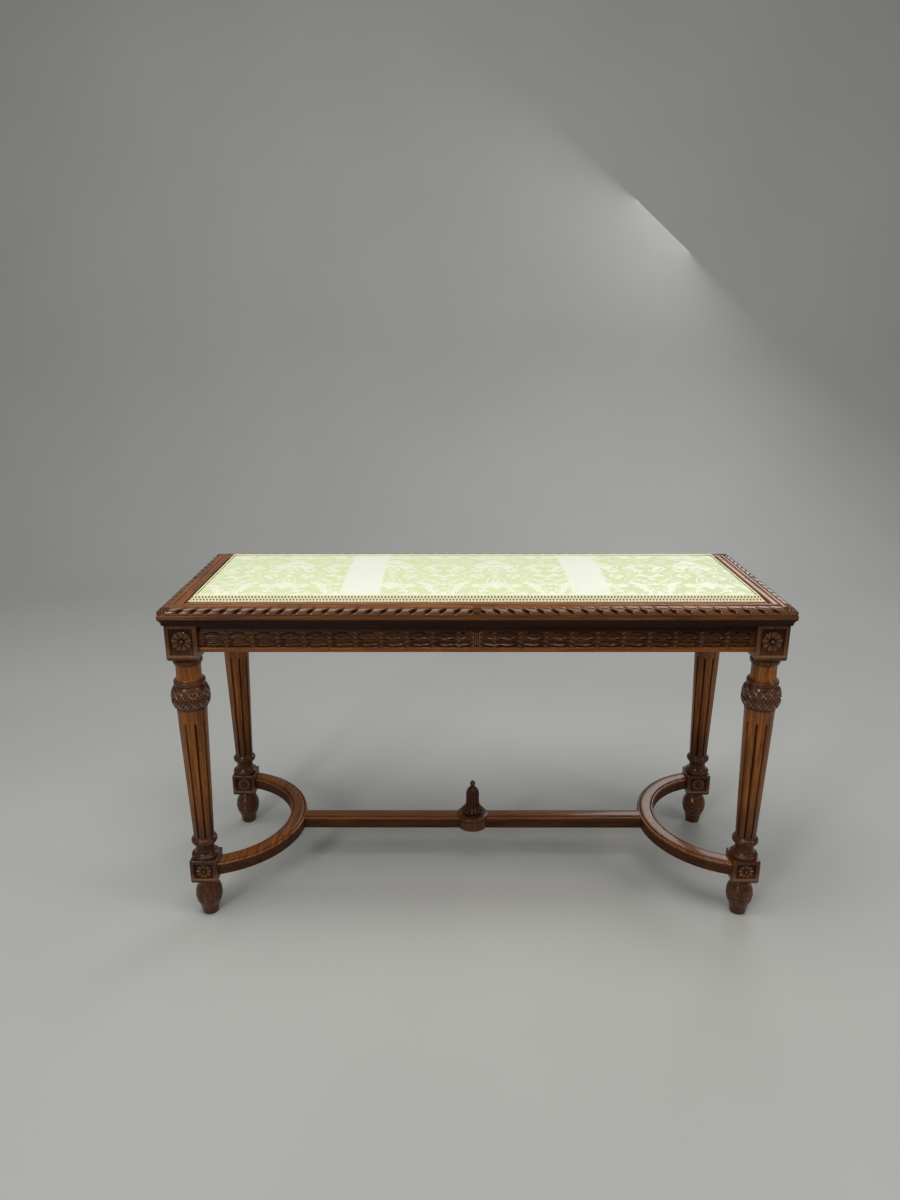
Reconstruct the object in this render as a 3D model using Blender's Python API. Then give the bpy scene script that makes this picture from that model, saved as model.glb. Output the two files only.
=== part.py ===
"""A carved walnut piano bench whose upholstered lid lifts over a music compartment.

Metres, +Z up. The origin is on the floor, under the middle of the bench. +X is the long way and -Y the front.
"""

import math

import bmesh
import bpy
import numpy as np
from mathutils import Matrix

# Overall sizes.
LID_WIDTH = 0.940
LID_DEPTH = 0.3466
FRAME_TOP = 0.508

# Clearances: FIT is between touching pieces, LID_GAP is under the closed lid.
FIT = 0.0003
LID_GAP = 0.0005

# Legs.
LID_OVERHANG = 0.007
UPPER_BLOCK = 0.048
UPPER_BLOCK_HEIGHT = 0.057
LOWER_BLOCK = 0.043
LOWER_BLOCK_BOTTOM = 0.0645
LOWER_BLOCK_HEIGHT = 0.042
COLUMN_TOP_RADIUS = 0.0224
COLUMN_FOOT_RADIUS = 0.0160
BALL_RADIUS = 0.0305
FOOT_RADIUS = 0.0217
LEG_SIDES = 16

# Aprons.
APRON_THICKNESS = 0.020
APRON_HEIGHT = 0.044
APRON_SETBACK = 0.006
APRON_TENON_LENGTH = 0.014
APRON_TENON_THICKNESS = 0.008

# Music compartment floor.
PANEL_THICKNESS = 0.004
PANEL_GROOVE_DEPTH = 0.006
PANEL_RISE = 0.004

# Stretcher.
STRETCHER_TOP = 0.0985
STRETCHER_HEIGHT = 0.022
STRETCHER_WIDTH = 0.029
ARC_OUTBOARD = 0.019
ARC_END_INSET = 0.003
ARC_STEPS = 24
STRETCHER_TENON_LENGTH = 0.010
STRETCHER_TENON_WIDTH = 0.010
STRETCHER_TENON_HEIGHT = 0.011
HUB_RADIUS = 0.028
HUB_RISE = 0.002
HUB_SIDES = 32
FINIAL_HEIGHT = 0.0625
FINIAL_BODY_RADIUS = 0.0118
SPIGOT_RADIUS = 0.005
SPIGOT_LENGTH = 0.014

# Lid rails.
RAIL_WIDTH = 0.038
RAIL_HEIGHT = 0.0265
RAIL_BAND_LOW = 0.0107
RAIL_BAND_HEIGHT = 0.0055
RAIL_UNDERCUT = 0.0045
RAIL_REBATE = 0.010
RAIL_INNER_MOULD = 0.008
TONGUE_LENGTH = 0.018
TONGUE_WIDTH = 0.018
TONGUE_THICKNESS = 0.004

# Seat.
BOARD_THICKNESS = 0.0065
BOARD_RISE = 0.0025
COVER_THICKNESS = 0.0012
SEAT_EDGE_DROP = 0.0010
SEAT_CROWN = 0.0175
GIMP_SPAN = 0.0085
GIMP_THICKNESS = 0.0015

# Hinges and screws.
HINGE_X = 0.300
HINGE_LENGTH = 0.050
KNUCKLES = 5
BARREL_RADIUS = 0.003
PIN_RADIUS = 0.0012
LEAF_THICKNESS = 0.0012
LEAF_WIDTH = 0.0195
HINGE_STANDOFF = 0.0003
HINGE_SCREW_SPREAD = 0.016
SCREW_HEAD_RADIUS = 0.0026
SCREW_SHANK_RADIUS = 0.0012
SCREW_LENGTH = 0.011
SCREW_SIDES = 10
SEAT_SCREW_INSET = 0.060
SEAT_SCREW_LENGTH = 0.015

# Places that follow from the sizes.
HALF_WIDTH = LID_WIDTH / 2
HALF_DEPTH = LID_DEPTH / 2
LEG_X = HALF_WIDTH - LID_OVERHANG - UPPER_BLOCK / 2
LEG_Y = HALF_DEPTH - LID_OVERHANG - UPPER_BLOCK / 2
BLOCK_FACE_Y = LEG_Y + UPPER_BLOCK / 2
UPPER_BLOCK_BOTTOM = FRAME_TOP - UPPER_BLOCK_HEIGHT
LOWER_BLOCK_TOP = LOWER_BLOCK_BOTTOM + LOWER_BLOCK_HEIGHT
APRON_BOTTOM = FRAME_TOP - APRON_HEIGHT
PANEL_BOTTOM = APRON_BOTTOM + PANEL_RISE
STRETCHER_BOTTOM = STRETCHER_TOP - STRETCHER_HEIGHT
STRETCHER_MIDDLE = (STRETCHER_TOP + STRETCHER_BOTTOM) / 2
ARC_CENTRE_X = LEG_X + ARC_OUTBOARD
ARC_END_X = LEG_X - LOWER_BLOCK / 2
ARC_RADIUS = math.hypot(ARC_CENTRE_X - ARC_END_X, LEG_Y - ARC_END_INSET)
ARC_OUTER_RADIUS = ARC_RADIUS + STRETCHER_WIDTH / 2
LID_BOTTOM = FRAME_TOP + LID_GAP
RAIL_TOP = LID_BOTTOM + RAIL_HEIGHT
BOARD_BOTTOM = LID_BOTTOM + BOARD_RISE
BOARD_TOP = BOARD_BOTTOM + BOARD_THICKNESS
REBATE_INSET = RAIL_WIDTH - RAIL_REBATE
HINGE_Y = BLOCK_FACE_Y + HINGE_STANDOFF
HINGE_Z = FRAME_TOP + LID_GAP / 2
LEAF_FRONT_Y = HINGE_Y - LEAF_WIDTH
BARREL_CLEAR = BARREL_RADIUS + 2 * FIT
HINGE_SCREW_Y = (LEAF_FRONT_Y + BLOCK_FACE_Y - APRON_SETBACK) / 2

CORNERS = {
    "front_left": (-1, -1),
    "front_right": (1, -1),
    "back_left": (-1, 1),
    "back_right": (1, 1),
}
# Each side's turn about +Z, for a piece drawn as the front one.
SIDES = {"front": 0.0, "right": 90.0, "back": 180.0, "left": 270.0}


def clear_scene():
    """Remove every object of the scene."""
    for obj in list(bpy.data.objects):
        bpy.data.objects.remove(obj, do_unlink=True)


def material(name, color, roughness, metallic=0.0):
    """A Principled BSDF material in one colour."""
    made = bpy.data.materials.new(name)
    made.use_nodes = True
    shader = made.node_tree.nodes["Principled BSDF"]
    shader.inputs["Base Color"].default_value = (*color, 1.0)
    shader.inputs["Roughness"].default_value = roughness
    shader.inputs["Metallic"].default_value = metallic
    return made


def mesh_object(name, points, faces, finish=None, turn=0.0, smooth=False):
    """An object from points and faces, with its faces turned outwards. It stands at the origin, turned about +Z."""
    shape = bmesh.new()
    corners = [shape.verts.new(point) for point in points]
    for face in faces:
        shape.faces.new([corners[i] for i in face])
    bmesh.ops.recalc_face_normals(shape, faces=shape.faces)
    mesh = bpy.data.meshes.new(name)
    shape.to_mesh(mesh)
    shape.free()
    obj = bpy.data.objects.new(name, mesh)
    bpy.context.scene.collection.objects.link(obj)
    obj.rotation_euler.z = math.radians(turn)
    if finish:
        mesh.materials.append(finish)
    if smooth:
        mesh.shade_smooth()
        mesh.set_sharp_from_angle(angle=math.radians(35))
    return obj


def loft(rings):
    """Points and faces of a closed body through rings of equally many points, with both end rings as caps."""
    count = len(rings[0])
    points = [point for ring in rings for point in ring]
    faces = []
    for k in range(len(rings) - 1):
        for i in range(count):
            j = (i + 1) % count
            faces.append((k * count + i, k * count + j, (k + 1) * count + j, (k + 1) * count + i))
    faces.append(tuple(range(count)))
    faces.append(tuple((len(rings) - 1) * count + i for i in range(count)))
    return points, faces


def box_shape(low, high):
    """Points and faces of a box between two corners."""
    (x0, y0, z0), (x1, y1, z1) = low, high
    rings = [[(x0, y0, z), (x1, y0, z), (x1, y1, z), (x0, y1, z)] for z in (z0, z1)]
    return loft(rings)


def turned_shape(profile, sides, x=0.0, y=0.0):
    """Points and faces of a body turned about the vertical through (x, y), from (radius, z) pairs."""
    rings = []
    for radius, z in profile:
        angles = np.arange(sides) * 2 * math.pi / sides
        rings.append([(x + radius * math.cos(a), y + radius * math.sin(a), z) for a in angles])
    return loft(rings)


def square_shape(profile, x, y):
    """Points and faces of a square post about the vertical through (x, y), from (half width, z) pairs."""
    signs = ((-1, -1), (1, -1), (1, 1), (-1, 1))
    return loft([[(x + sx * half, y + sy * half, z) for sx, sy in signs] for half, z in profile])


def helper(name, shape, turn=0.0):
    """A hidden object that Booleans use, left out of the model."""
    obj = mesh_object(name, *shape, turn=turn)
    obj.hide_render = True
    obj.display_type = "WIRE"
    return obj


def boolean(obj, other, operation="DIFFERENCE"):
    """Add a Boolean of the other object to this one."""
    modifier = obj.modifiers.new(f"{operation.title()} {other.name}", "BOOLEAN")
    modifier.operation = operation
    modifier.object = other
    modifier.solver = "EXACT"


def grown(low, high, by=FIT):
    """The corners of a box made larger by a clearance on every side."""
    return tuple(v - by for v in low), tuple(v + by for v in high)


def leg_profile():
    """(radius, z) of the turned leg, floor to block. The foot is placed from the floor, the ball from the top."""
    up = FRAME_TOP
    low = LOWER_BLOCK_TOP
    inside = LOWER_BLOCK / 2 - 0.007
    foot = [
        (FOOT_RADIUS - 0.0094, 0.0),
        (FOOT_RADIUS - 0.0058, 0.0165),
        (FOOT_RADIUS - 0.0028, 0.0225),
        (FOOT_RADIUS, 0.0325),
        (FOOT_RADIUS - 0.0010, 0.041),
        (FOOT_RADIUS - 0.0040, 0.0486),
        (FOOT_RADIUS - 0.0057, LOWER_BLOCK_BOTTOM - 0.003),
        (inside, LOWER_BLOCK_BOTTOM + 0.006),
    ]
    ankle = [
        (inside, low - 0.006),
        (COLUMN_FOOT_RADIUS - 0.001, low - 0.001),
        (COLUMN_FOOT_RADIUS + 0.0054, low + 0.002),
        (COLUMN_FOOT_RADIUS - 0.0019, low + 0.0125),
        (COLUMN_FOOT_RADIUS - 0.0019, low + 0.021),
        (COLUMN_FOOT_RADIUS + 0.0041, low + 0.0305),
        (COLUMN_FOOT_RADIUS, low + 0.038),
        (COLUMN_FOOT_RADIUS, low + 0.0495),
    ]
    ball = [
        (COLUMN_TOP_RADIUS, up - 0.162),
        (COLUMN_TOP_RADIUS + 0.0006, up - 0.146),
        (BALL_RADIUS - 0.0060, up - 0.139),
        (BALL_RADIUS - 0.0017, up - 0.129),
        (BALL_RADIUS, up - 0.117),
        (BALL_RADIUS - 0.0065, up - 0.101),
        (BALL_RADIUS - 0.0071, up - 0.093),
        (BALL_RADIUS - 0.0110, up - 0.091),
        (BALL_RADIUS - 0.0113, up - 0.067),
        (UPPER_BLOCK / 2 - 0.0022, UPPER_BLOCK_BOTTOM - 0.0015),
        (UPPER_BLOCK / 2 - 0.0080, UPPER_BLOCK_BOTTOM + 0.010),
    ]
    return foot + ankle + ball


def mortise_boxes():
    """The tenons of the back right leg's apron and arc joints, as named boxes."""
    half = APRON_TENON_THICKNESS / 2
    low = PANEL_BOTTOM + PANEL_THICKNESS + 0.004
    high = FRAME_TOP - 0.008
    middle_x = LEG_X + UPPER_BLOCK / 2 - APRON_SETBACK - APRON_THICKNESS / 2
    middle_y = BLOCK_FACE_Y - APRON_SETBACK - APRON_THICKNESS / 2
    inner_x = LEG_X - UPPER_BLOCK / 2
    inner_y = LEG_Y - UPPER_BLOCK / 2
    reach = APRON_TENON_LENGTH
    arc_y = LEG_Y - ARC_END_INSET
    arc_half = STRETCHER_TENON_WIDTH / 2
    arc_rise = STRETCHER_TENON_HEIGHT / 2
    return {
        "long_apron": ((inner_x, middle_y - half, low), (inner_x + reach, middle_y + half, high)),
        "short_apron": ((middle_x - half, inner_y, low), (middle_x + half, inner_y + reach, high)),
        "arc": (
            (ARC_END_X, arc_y - arc_half, STRETCHER_MIDDLE - arc_rise),
            (ARC_END_X + STRETCHER_TENON_LENGTH, arc_y + arc_half, STRETCHER_MIDDLE + arc_rise),
        ),
    }


def mirrored(low, high, sx, sy):
    """A box of the back right corner, carried to the corner with these signs."""
    xs = sorted((low[0] * sx, high[0] * sx))
    ys = sorted((low[1] * sy, high[1] * sy))
    return (xs[0], ys[0], low[2]), (xs[1], ys[1], high[2])


def make_legs(finish):
    """Four legs: a turning joined to a square block at the apron and another at the stretcher."""
    for corner, (sx, sy) in CORNERS.items():
        x, y = sx * LEG_X, sy * LEG_Y
        leg = mesh_object(f"leg_{corner}", *turned_shape(leg_profile(), LEG_SIDES, x, y), finish, smooth=True)
        half = UPPER_BLOCK / 2
        upper = [(half - 0.004, UPPER_BLOCK_BOTTOM), (half, UPPER_BLOCK_BOTTOM + 0.006), (half, FRAME_TOP)]
        half = LOWER_BLOCK / 2
        lower = [
            (half - 0.003, LOWER_BLOCK_BOTTOM),
            (half, LOWER_BLOCK_BOTTOM + 0.004),
            (half, LOWER_BLOCK_TOP - 0.004),
            (half - 0.003, LOWER_BLOCK_TOP),
        ]
        boolean(leg, helper(f"upper_block_{corner}", square_shape(upper, x, y)), "UNION")
        boolean(leg, helper(f"lower_block_{corner}", square_shape(lower, x, y)), "UNION")
        for joint, corners in mortise_boxes().items():
            low, high = grown(*mirrored(*corners, sx, sy))
            boolean(leg, helper(f"mortise_{joint}_{corner}", box_shape(low, high)))


def apron_section(face):
    """(y, z) outline of an apron whose outermost line is at -face: bead, carved panel, recess, ridge and groove."""
    back = -face + APRON_THICKNESS
    z = APRON_BOTTOM
    top = FRAME_TOP
    groove_low = PANEL_BOTTOM - FIT
    groove_high = PANEL_BOTTOM + PANEL_THICKNESS + FIT
    return [
        (-face, z + 0.001),
        (-face, z + 0.0075),
        (-face + 0.0015, z + 0.009),
        (-face + 0.0005, z + 0.013),
        (-face + 0.0005, top - 0.015),
        (-face + 0.003, top - 0.011),
        (-face + 0.003, top - 0.005),
        (-face + 0.001, top - 0.0045),
        (-face + 0.001, top - 0.0025),
        (-face + 0.003, top - 0.002),
        (-face + 0.003, top),
        (back, top),
        (back, groove_high),
        (back - PANEL_GROOVE_DEPTH, groove_high),
        (back - PANEL_GROOVE_DEPTH, groove_low),
        (back, groove_low),
        (back, z),
        (-face + 0.001, z),
    ]


def make_aprons(finish):
    """Four aprons between the upper blocks, each with a tenon at either end."""
    boxes = mortise_boxes()
    for side, turn in SIDES.items():
        is_long = side in ("front", "back")
        leg_along = LEG_X if is_long else LEG_Y
        face = (LEG_Y if is_long else LEG_X) + UPPER_BLOCK / 2 - APRON_SETBACK
        end = leg_along - UPPER_BLOCK / 2 - FIT
        rings = [[(x, y, z) for y, z in apron_section(face)] for x in (-end, end)]
        apron = mesh_object(f"apron_{side}", *loft(rings), finish, turn)
        low, high = boxes["long_apron"]
        tip = end + APRON_TENON_LENGTH
        inner = end - 0.004
        middle = -face + APRON_THICKNESS / 2
        half = APRON_TENON_THICKNESS / 2
        for sign in (-1, 1):
            xs = sorted((sign * inner, sign * tip))
            tenon = box_shape((xs[0], middle - half, low[2]), (xs[1], middle + half, high[2]))
            boolean(apron, helper(f"tenon_{side}_{sign}", tenon, turn), "UNION")


def make_bottom_panel(finish):
    """The floor of the music compartment: a panel held in the aprons' groove, cut out round the blocks."""
    x = LEG_X + UPPER_BLOCK / 2 - APRON_SETBACK - APRON_THICKNESS + PANEL_GROOVE_DEPTH - FIT
    y = BLOCK_FACE_Y - APRON_SETBACK - APRON_THICKNESS + PANEL_GROOVE_DEPTH - FIT
    notch_x = LEG_X - UPPER_BLOCK / 2 - FIT
    notch_y = LEG_Y - UPPER_BLOCK / 2 - FIT
    outline = []
    for sx, sy in ((-1, -1), (1, -1), (1, 1), (-1, 1)):
        step = [(sx * x, sy * notch_y), (sx * notch_x, sy * notch_y), (sx * notch_x, sy * y)]
        outline += step if sx * sy > 0 else step[::-1]
    rings = [[(px, py, z) for px, py in outline] for z in (PANEL_BOTTOM, PANEL_BOTTOM + PANEL_THICKNESS)]
    mesh_object("bottom_panel", *loft(rings), finish)


def stretcher_section():
    """(offset, z) outline of the stretcher: flat top strip, a quirk, then a rounded shoulder on each side."""
    half = STRETCHER_WIDTH / 2
    top = STRETCHER_TOP
    right = [
        (half - 0.001, STRETCHER_BOTTOM),
        (half, STRETCHER_BOTTOM + 0.001),
        (half, top - 0.006),
        (half - 0.003, top - 0.0025),
        (half - 0.008, top - 0.001),
        (half - 0.009, top),
    ]
    return right + [(-offset, z) for offset, z in right[::-1]]


def make_arcs(finish):
    """Two C-shaped arcs, each swept about a point outside the legs and cut flat where it meets the blocks."""
    for side, sign in (("left", -1), ("right", 1)):
        rings = []
        for t in np.linspace(-1, 1, ARC_STEPS + 1):
            ring = []
            for offset, z in stretcher_section():
                radius = ARC_RADIUS + offset
                limit = math.acos((ARC_CENTRE_X - ARC_END_X + FIT) / radius)
                angle = t * limit
                ring.append((sign * (ARC_CENTRE_X - radius * math.cos(angle)), radius * math.sin(angle), z))
            rings.append(ring)
        arc = mesh_object(f"stretcher_arc_{side}", *loft(rings), finish, smooth=True)
        low, high = mortise_boxes()["arc"]
        inner = (ARC_END_X - 0.004, low[1], low[2])
        outer = (high[0] - FIT, high[1], high[2])
        for end in (-1, 1):
            corners = mirrored(inner, outer, sign, end)
            boolean(arc, helper(f"tenon_arc_{side}_{end}", box_shape(*corners)), "UNION")
        low, high = bar_tenons()["arc"]
        corners = grown(*mirrored(low, high, sign, 1))
        boolean(arc, helper(f"mortise_bar_{side}", box_shape(*corners)))


def bar_tenons():
    """The right bar's two tenons, into the hub and into the arc's crown."""
    half = STRETCHER_TENON_WIDTH / 2
    rise = STRETCHER_TENON_HEIGHT / 2
    crown = ARC_CENTRE_X - ARC_OUTER_RADIUS
    low, high = STRETCHER_MIDDLE - rise, STRETCHER_MIDDLE + rise
    return {
        "hub": ((HUB_RADIUS - STRETCHER_TENON_LENGTH, -half, low), (HUB_RADIUS + 0.004, half, high)),
        "arc": ((crown - 0.004, -half, low), (crown + STRETCHER_TENON_LENGTH, half, high)),
    }


def make_bars(finish):
    """Two straight bars, coped to the round hub at one end and to an arc's crown at the other."""
    ends = (HUB_RADIUS - 0.008, ARC_CENTRE_X - ARC_OUTER_RADIUS + 0.004)
    heights = (STRETCHER_BOTTOM - 0.005, STRETCHER_TOP + 0.005)
    hub = [(HUB_RADIUS + FIT, z) for z in heights]
    crown = [(ARC_OUTER_RADIUS + FIT, z) for z in heights]
    for side, sign in (("left", -1), ("right", 1)):
        rings = [[(sign * x, offset, z) for offset, z in stretcher_section()] for x in ends]
        bar = mesh_object(f"stretcher_bar_{side}", *loft(rings), finish)
        boolean(bar, helper(f"cope_hub_{side}", turned_shape(hub, HUB_SIDES)))
        boolean(bar, helper(f"cope_arc_{side}", turned_shape(crown, 4 * ARC_STEPS, sign * ARC_CENTRE_X)))
        for joint, corners in bar_tenons().items():
            boolean(bar, helper(f"tenon_{joint}_{side}", box_shape(*mirrored(*corners, sign, 1))), "UNION")


def make_hub(finish):
    """The round hub that the bars meet in, bored for the finial's spigot."""
    top = STRETCHER_TOP + HUB_RISE
    profile = [
        (HUB_RADIUS - 0.0015, STRETCHER_BOTTOM - 0.0005),
        (HUB_RADIUS, STRETCHER_BOTTOM + 0.001),
        (HUB_RADIUS, top - 0.005),
        (HUB_RADIUS - 0.003, top - 0.001),
        (HUB_RADIUS - 0.006, top),
    ]
    hub = mesh_object("stretcher_hub", *turned_shape(profile, HUB_SIDES), finish, smooth=True)
    low, high = bar_tenons()["hub"]
    for sign in (-1, 1):
        corners = grown(*mirrored(low, high, sign, 1))
        boolean(hub, helper(f"mortise_hub_{sign}", box_shape(*corners)))
    bore = [(SPIGOT_RADIUS + FIT, top - SPIGOT_LENGTH - FIT), (SPIGOT_RADIUS + FIT, top + 0.002)]
    boolean(hub, helper("hub_bore", turned_shape(bore, 16)))


def make_finial(finish):
    """The turned finial on the hub: spigot, flared skirt, body, shoulder and ball."""
    base = STRETCHER_TOP + HUB_RISE + FIT
    body = FINIAL_BODY_RADIUS
    top = base + FINIAL_HEIGHT
    profile = [
        (SPIGOT_RADIUS, base + 2 * FIT - SPIGOT_LENGTH),
        (SPIGOT_RADIUS, base),
        (body + 0.003, base),
        (body + 0.003, base + 0.004),
        (body + 0.008, base + 0.0050),
        (body + 0.008, base + 0.0065),
        (body + 0.002, base + 0.0125),
        (body, base + 0.020),
        (body, base + 0.044),
        (body - 0.003, base + 0.051),
        (0.0030, base + 0.0545),
        (0.0043, base + 0.058),
        (0.0025, top),
    ]
    mesh_object("finial", *turned_shape(profile, 16), finish, smooth=True)


def rail_section():
    """(inset, z) outline of a lid rail, from the outer edge inwards."""
    z = LID_BOTTOM
    top = RAIL_TOP
    band = z + RAIL_BAND_LOW
    edge = band + RAIL_BAND_HEIGHT
    rebate = BOARD_TOP + FIT
    bead_end = RAIL_WIDTH - RAIL_INNER_MOULD
    return [
        (RAIL_UNDERCUT, z),
        (RAIL_UNDERCUT - 0.0005, z + 0.0025),
        (RAIL_UNDERCUT - 0.0025, z + 0.006),
        (0.0, band),
        (0.0, edge),
        (0.0008, edge + 0.004),
        (0.0040, top - 0.002),
        (0.0080, top + 0.0015),
        (0.0125, top + 0.0015),
        (0.0135, top),
        (0.0175, top),
        (0.0178, top - 0.002),
        (0.0200, top - 0.002),
        (0.0205, top),
        ((0.0205 + bead_end) / 2, top + 0.001),
        (bead_end, top - 0.0005),
        (bead_end + 0.0010, top - 0.003),
        (bead_end + 0.0040, top - 0.003),
        (bead_end + 0.0045, top - 0.0005),
        (RAIL_WIDTH, top - 0.0005),
        (RAIL_WIDTH, rebate),
        (REBATE_INSET, rebate),
        (REBATE_INSET, z),
    ]


def mitred_side(section, along, out, gap):
    """Rings of a mitred bar on one side of a rectangle, from its (inset, z) outline and the half sizes."""
    return [[(sign * (along - inset - gap), inset - out, z) for inset, z in section] for sign in (-1, 1)]


def side_halves(side):
    """The lid's half size along a side, and its half size square to that side."""
    return (HALF_WIDTH, HALF_DEPTH) if side in ("front", "back") else (HALF_DEPTH, HALF_WIDTH)


def hinge_pockets():
    """Boxes cut from the lid's back rail and the back apron for each hinge, at +X."""
    half = HINGE_LENGTH / 2 + FIT
    return {
        "lid": (
            (HINGE_X - half, LEAF_FRONT_Y - FIT, LID_BOTTOM - 0.001),
            (HINGE_X + half, HINGE_Y, HINGE_Z + LEAF_THICKNESS + 3 * FIT),
        ),
        "barrel": (
            (HINGE_X - half, HINGE_Y - BARREL_CLEAR, LID_BOTTOM - 0.001),
            (HINGE_X + half, HALF_DEPTH + 0.001, HINGE_Z + BARREL_CLEAR),
        ),
        "frame": (
            (HINGE_X - half, LEAF_FRONT_Y - FIT, HINGE_Z - LEAF_THICKNESS - 3 * FIT),
            (HINGE_X + half, BLOCK_FACE_Y, FRAME_TOP + 0.001),
        ),
    }


def make_rails(finish, tongue_finish):
    """Four mitred lid rails with a tongue across each mitre, and the hinge pockets in the back one."""
    rails = {}
    for side, turn in SIDES.items():
        rings = mitred_side(rail_section(), *side_halves(side), FIT / 2)
        rails[side] = mesh_object(f"lid_rail_{side}", *loft(rings), finish, turn)
    middle = (RAIL_UNDERCUT + REBATE_INSET) / 2
    z = LID_BOTTOM + RAIL_BAND_LOW + 0.004
    half_length, half_width = TONGUE_LENGTH / 2, TONGUE_WIDTH / 2
    for corner, (sx, sy) in CORNERS.items():
        place = Matrix.Translation((sx * (HALF_WIDTH - middle), sy * (HALF_DEPTH - middle), z))
        place = place @ Matrix.Rotation(math.radians(45), 4, "Z")
        low = (-half_length, -half_width, -TONGUE_THICKNESS / 2)
        high = (half_length, half_width, TONGUE_THICKNESS / 2)
        points, faces = box_shape(low, high)
        mesh_object(f"lid_tongue_{corner}", [place @ Matrix.Translation(p).to_translation() for p in points],
                    faces, tongue_finish)
        points, faces = box_shape(*grown(low, high))
        slot = helper(f"slot_{corner}", ([place @ Matrix.Translation(p).to_translation() for p in points], faces))
        for side in corner.split("_"):
            boolean(rails[side], slot)
    pockets = hinge_pockets()
    for sign in (-1, 1):
        for name in ("lid", "barrel"):
            corners = mirrored(*pockets[name], sign, 1)
            boolean(rails["back"], helper(f"pocket_{name}_{sign}", box_shape(*corners)))
    return rails


def screw_profile(length, by=0.0):
    """(radius, depth) of a countersunk screw, head face first, grown by a clearance."""
    cone = SCREW_HEAD_RADIUS - SCREW_SHANK_RADIUS
    above = 0.001 if by else 0.0
    return [
        (SCREW_HEAD_RADIUS + by, -above),
        (SCREW_HEAD_RADIUS + by, by),
        (SCREW_SHANK_RADIUS + by, cone + by),
        (SCREW_SHANK_RADIUS + by, length - 0.002),
        (SCREW_SHANK_RADIUS * 0.3 + by, length + by),
    ]


def add_screw(name, x, y, z, sign, length, finish, pieces):
    """A countersunk screw whose head face is at z and which runs up (sign 1) or down (-1), with its pilot holes."""
    def shape(by):
        profile = [(radius, z + sign * depth) for radius, depth in screw_profile(length, by)]
        return turned_shape(profile, SCREW_SIDES, x, y)

    mesh_object(name, *shape(0.0), finish, smooth=True)
    hole = helper(f"hole_{name}", shape(FIT))
    for piece in pieces:
        boolean(piece, hole)


def knuckle_spans():
    """The (start, end) of each hinge knuckle along the barrel, with a running gap between neighbours."""
    pitch = HINGE_LENGTH / KNUCKLES
    start = -HINGE_LENGTH / 2
    return [(start + k * pitch + FIT / 2, start + (k + 1) * pitch - FIT / 2) for k in range(KNUCKLES)]


def barrel_shape(x0, x1, radius, sides):
    """Points and faces of a rod along X about the hinge axis."""
    angles = np.arange(sides) * 2 * math.pi / sides
    rings = [[(x, HINGE_Y + radius * math.cos(a), HINGE_Z + radius * math.sin(a)) for a in angles] for x in (x0, x1)]
    return loft(rings)


def make_leaf(name, x, sign, chosen, finish):
    """A hinge leaf: a plate above (sign 1) or below (-1) the axis, and the chosen knuckles, bored for the pin."""
    near, far = HINGE_Z + sign * FIT, HINGE_Z + sign * (FIT + LEAF_THICKNESS)
    zs = sorted((near, far))
    edge = HINGE_Y - BARREL_RADIUS - FIT
    half = HINGE_LENGTH / 2
    plate = box_shape((x - half, LEAF_FRONT_Y, zs[0]), (x + half, edge, zs[1]))
    leaf = mesh_object(name, *plate, finish)
    for k, (start, end) in enumerate(knuckle_spans()):
        if k % 2 != chosen:
            continue
        tab = box_shape((x + start, edge - 0.001, zs[0]), (x + end, HINGE_Y, zs[1]))
        boolean(leaf, helper(f"{name}_tab_{k}", tab), "UNION")
        barrel = barrel_shape(x + start, x + end, BARREL_RADIUS, 16)
        boolean(leaf, helper(f"{name}_knuckle_{k}", barrel), "UNION")
    bore = barrel_shape(x - half - 0.002, x + half + 0.002, PIN_RADIUS + FIT, 12)
    boolean(leaf, helper(f"{name}_bore", bore))
    return leaf


def make_hinges(finish, screw_finish, back_rail):
    """Two butt hinges at the back: leaves let into the apron's top and the lid's underside, pins and screws."""
    apron = bpy.data.objects["apron_back"]
    pockets = hinge_pockets()
    for side, sign in (("left", -1), ("right", 1)):
        x = sign * HINGE_X
        corners = mirrored(*pockets["frame"], sign, 1)
        boolean(apron, helper(f"pocket_frame_{side}", box_shape(*corners)))
        frame_leaf = make_leaf(f"hinge_{side}_frame_leaf", x, -1, 0, finish)
        lid_leaf = make_leaf(f"hinge_{side}_lid_leaf", x, 1, 1, finish)
        half = HINGE_LENGTH / 2 - FIT
        mesh_object(f"hinge_{side}_pin", *barrel_shape(x - half, x + half, PIN_RADIUS, 12), finish, smooth=True)
        for number, offset in enumerate((-HINGE_SCREW_SPREAD, HINGE_SCREW_SPREAD), 1):
            place = (x + offset, HINGE_SCREW_Y)
            add_screw(f"hinge_{side}_frame_screw_{number}", *place, HINGE_Z - FIT, -1, SCREW_LENGTH,
                      screw_finish, (frame_leaf, apron))
            add_screw(f"hinge_{side}_lid_screw_{number}", *place, HINGE_Z + FIT, 1, SCREW_LENGTH,
                      screw_finish, (lid_leaf, back_rail))


def seat_rings(drop, inset):
    """(inset from the lid's edge, z) of the seat's surface, lowered by drop and drawn in by inset."""
    edge = RAIL_WIDTH + FIT + inset
    z = RAIL_TOP - SEAT_EDGE_DROP - drop
    reach = HALF_DEPTH - edge
    rings = [(edge, z), (edge + GIMP_SPAN - inset, z + GIMP_SPAN - inset)]
    rise = SEAT_CROWN - GIMP_SPAN
    for share in (0.20, 0.36, 0.56, 0.78, 0.93):
        rings.append((edge + share * reach, z + GIMP_SPAN + rise * (1 - (1 - share) ** 2.2)))
    return rings


def rectangle(inset, z):
    """The four corners of a level rectangle inset from the lid's edge."""
    x, y = HALF_WIDTH - inset, HALF_DEPTH - inset
    return [(-x, -y, z), (x, -y, z), (x, y, z), (-x, y, z)]


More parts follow.
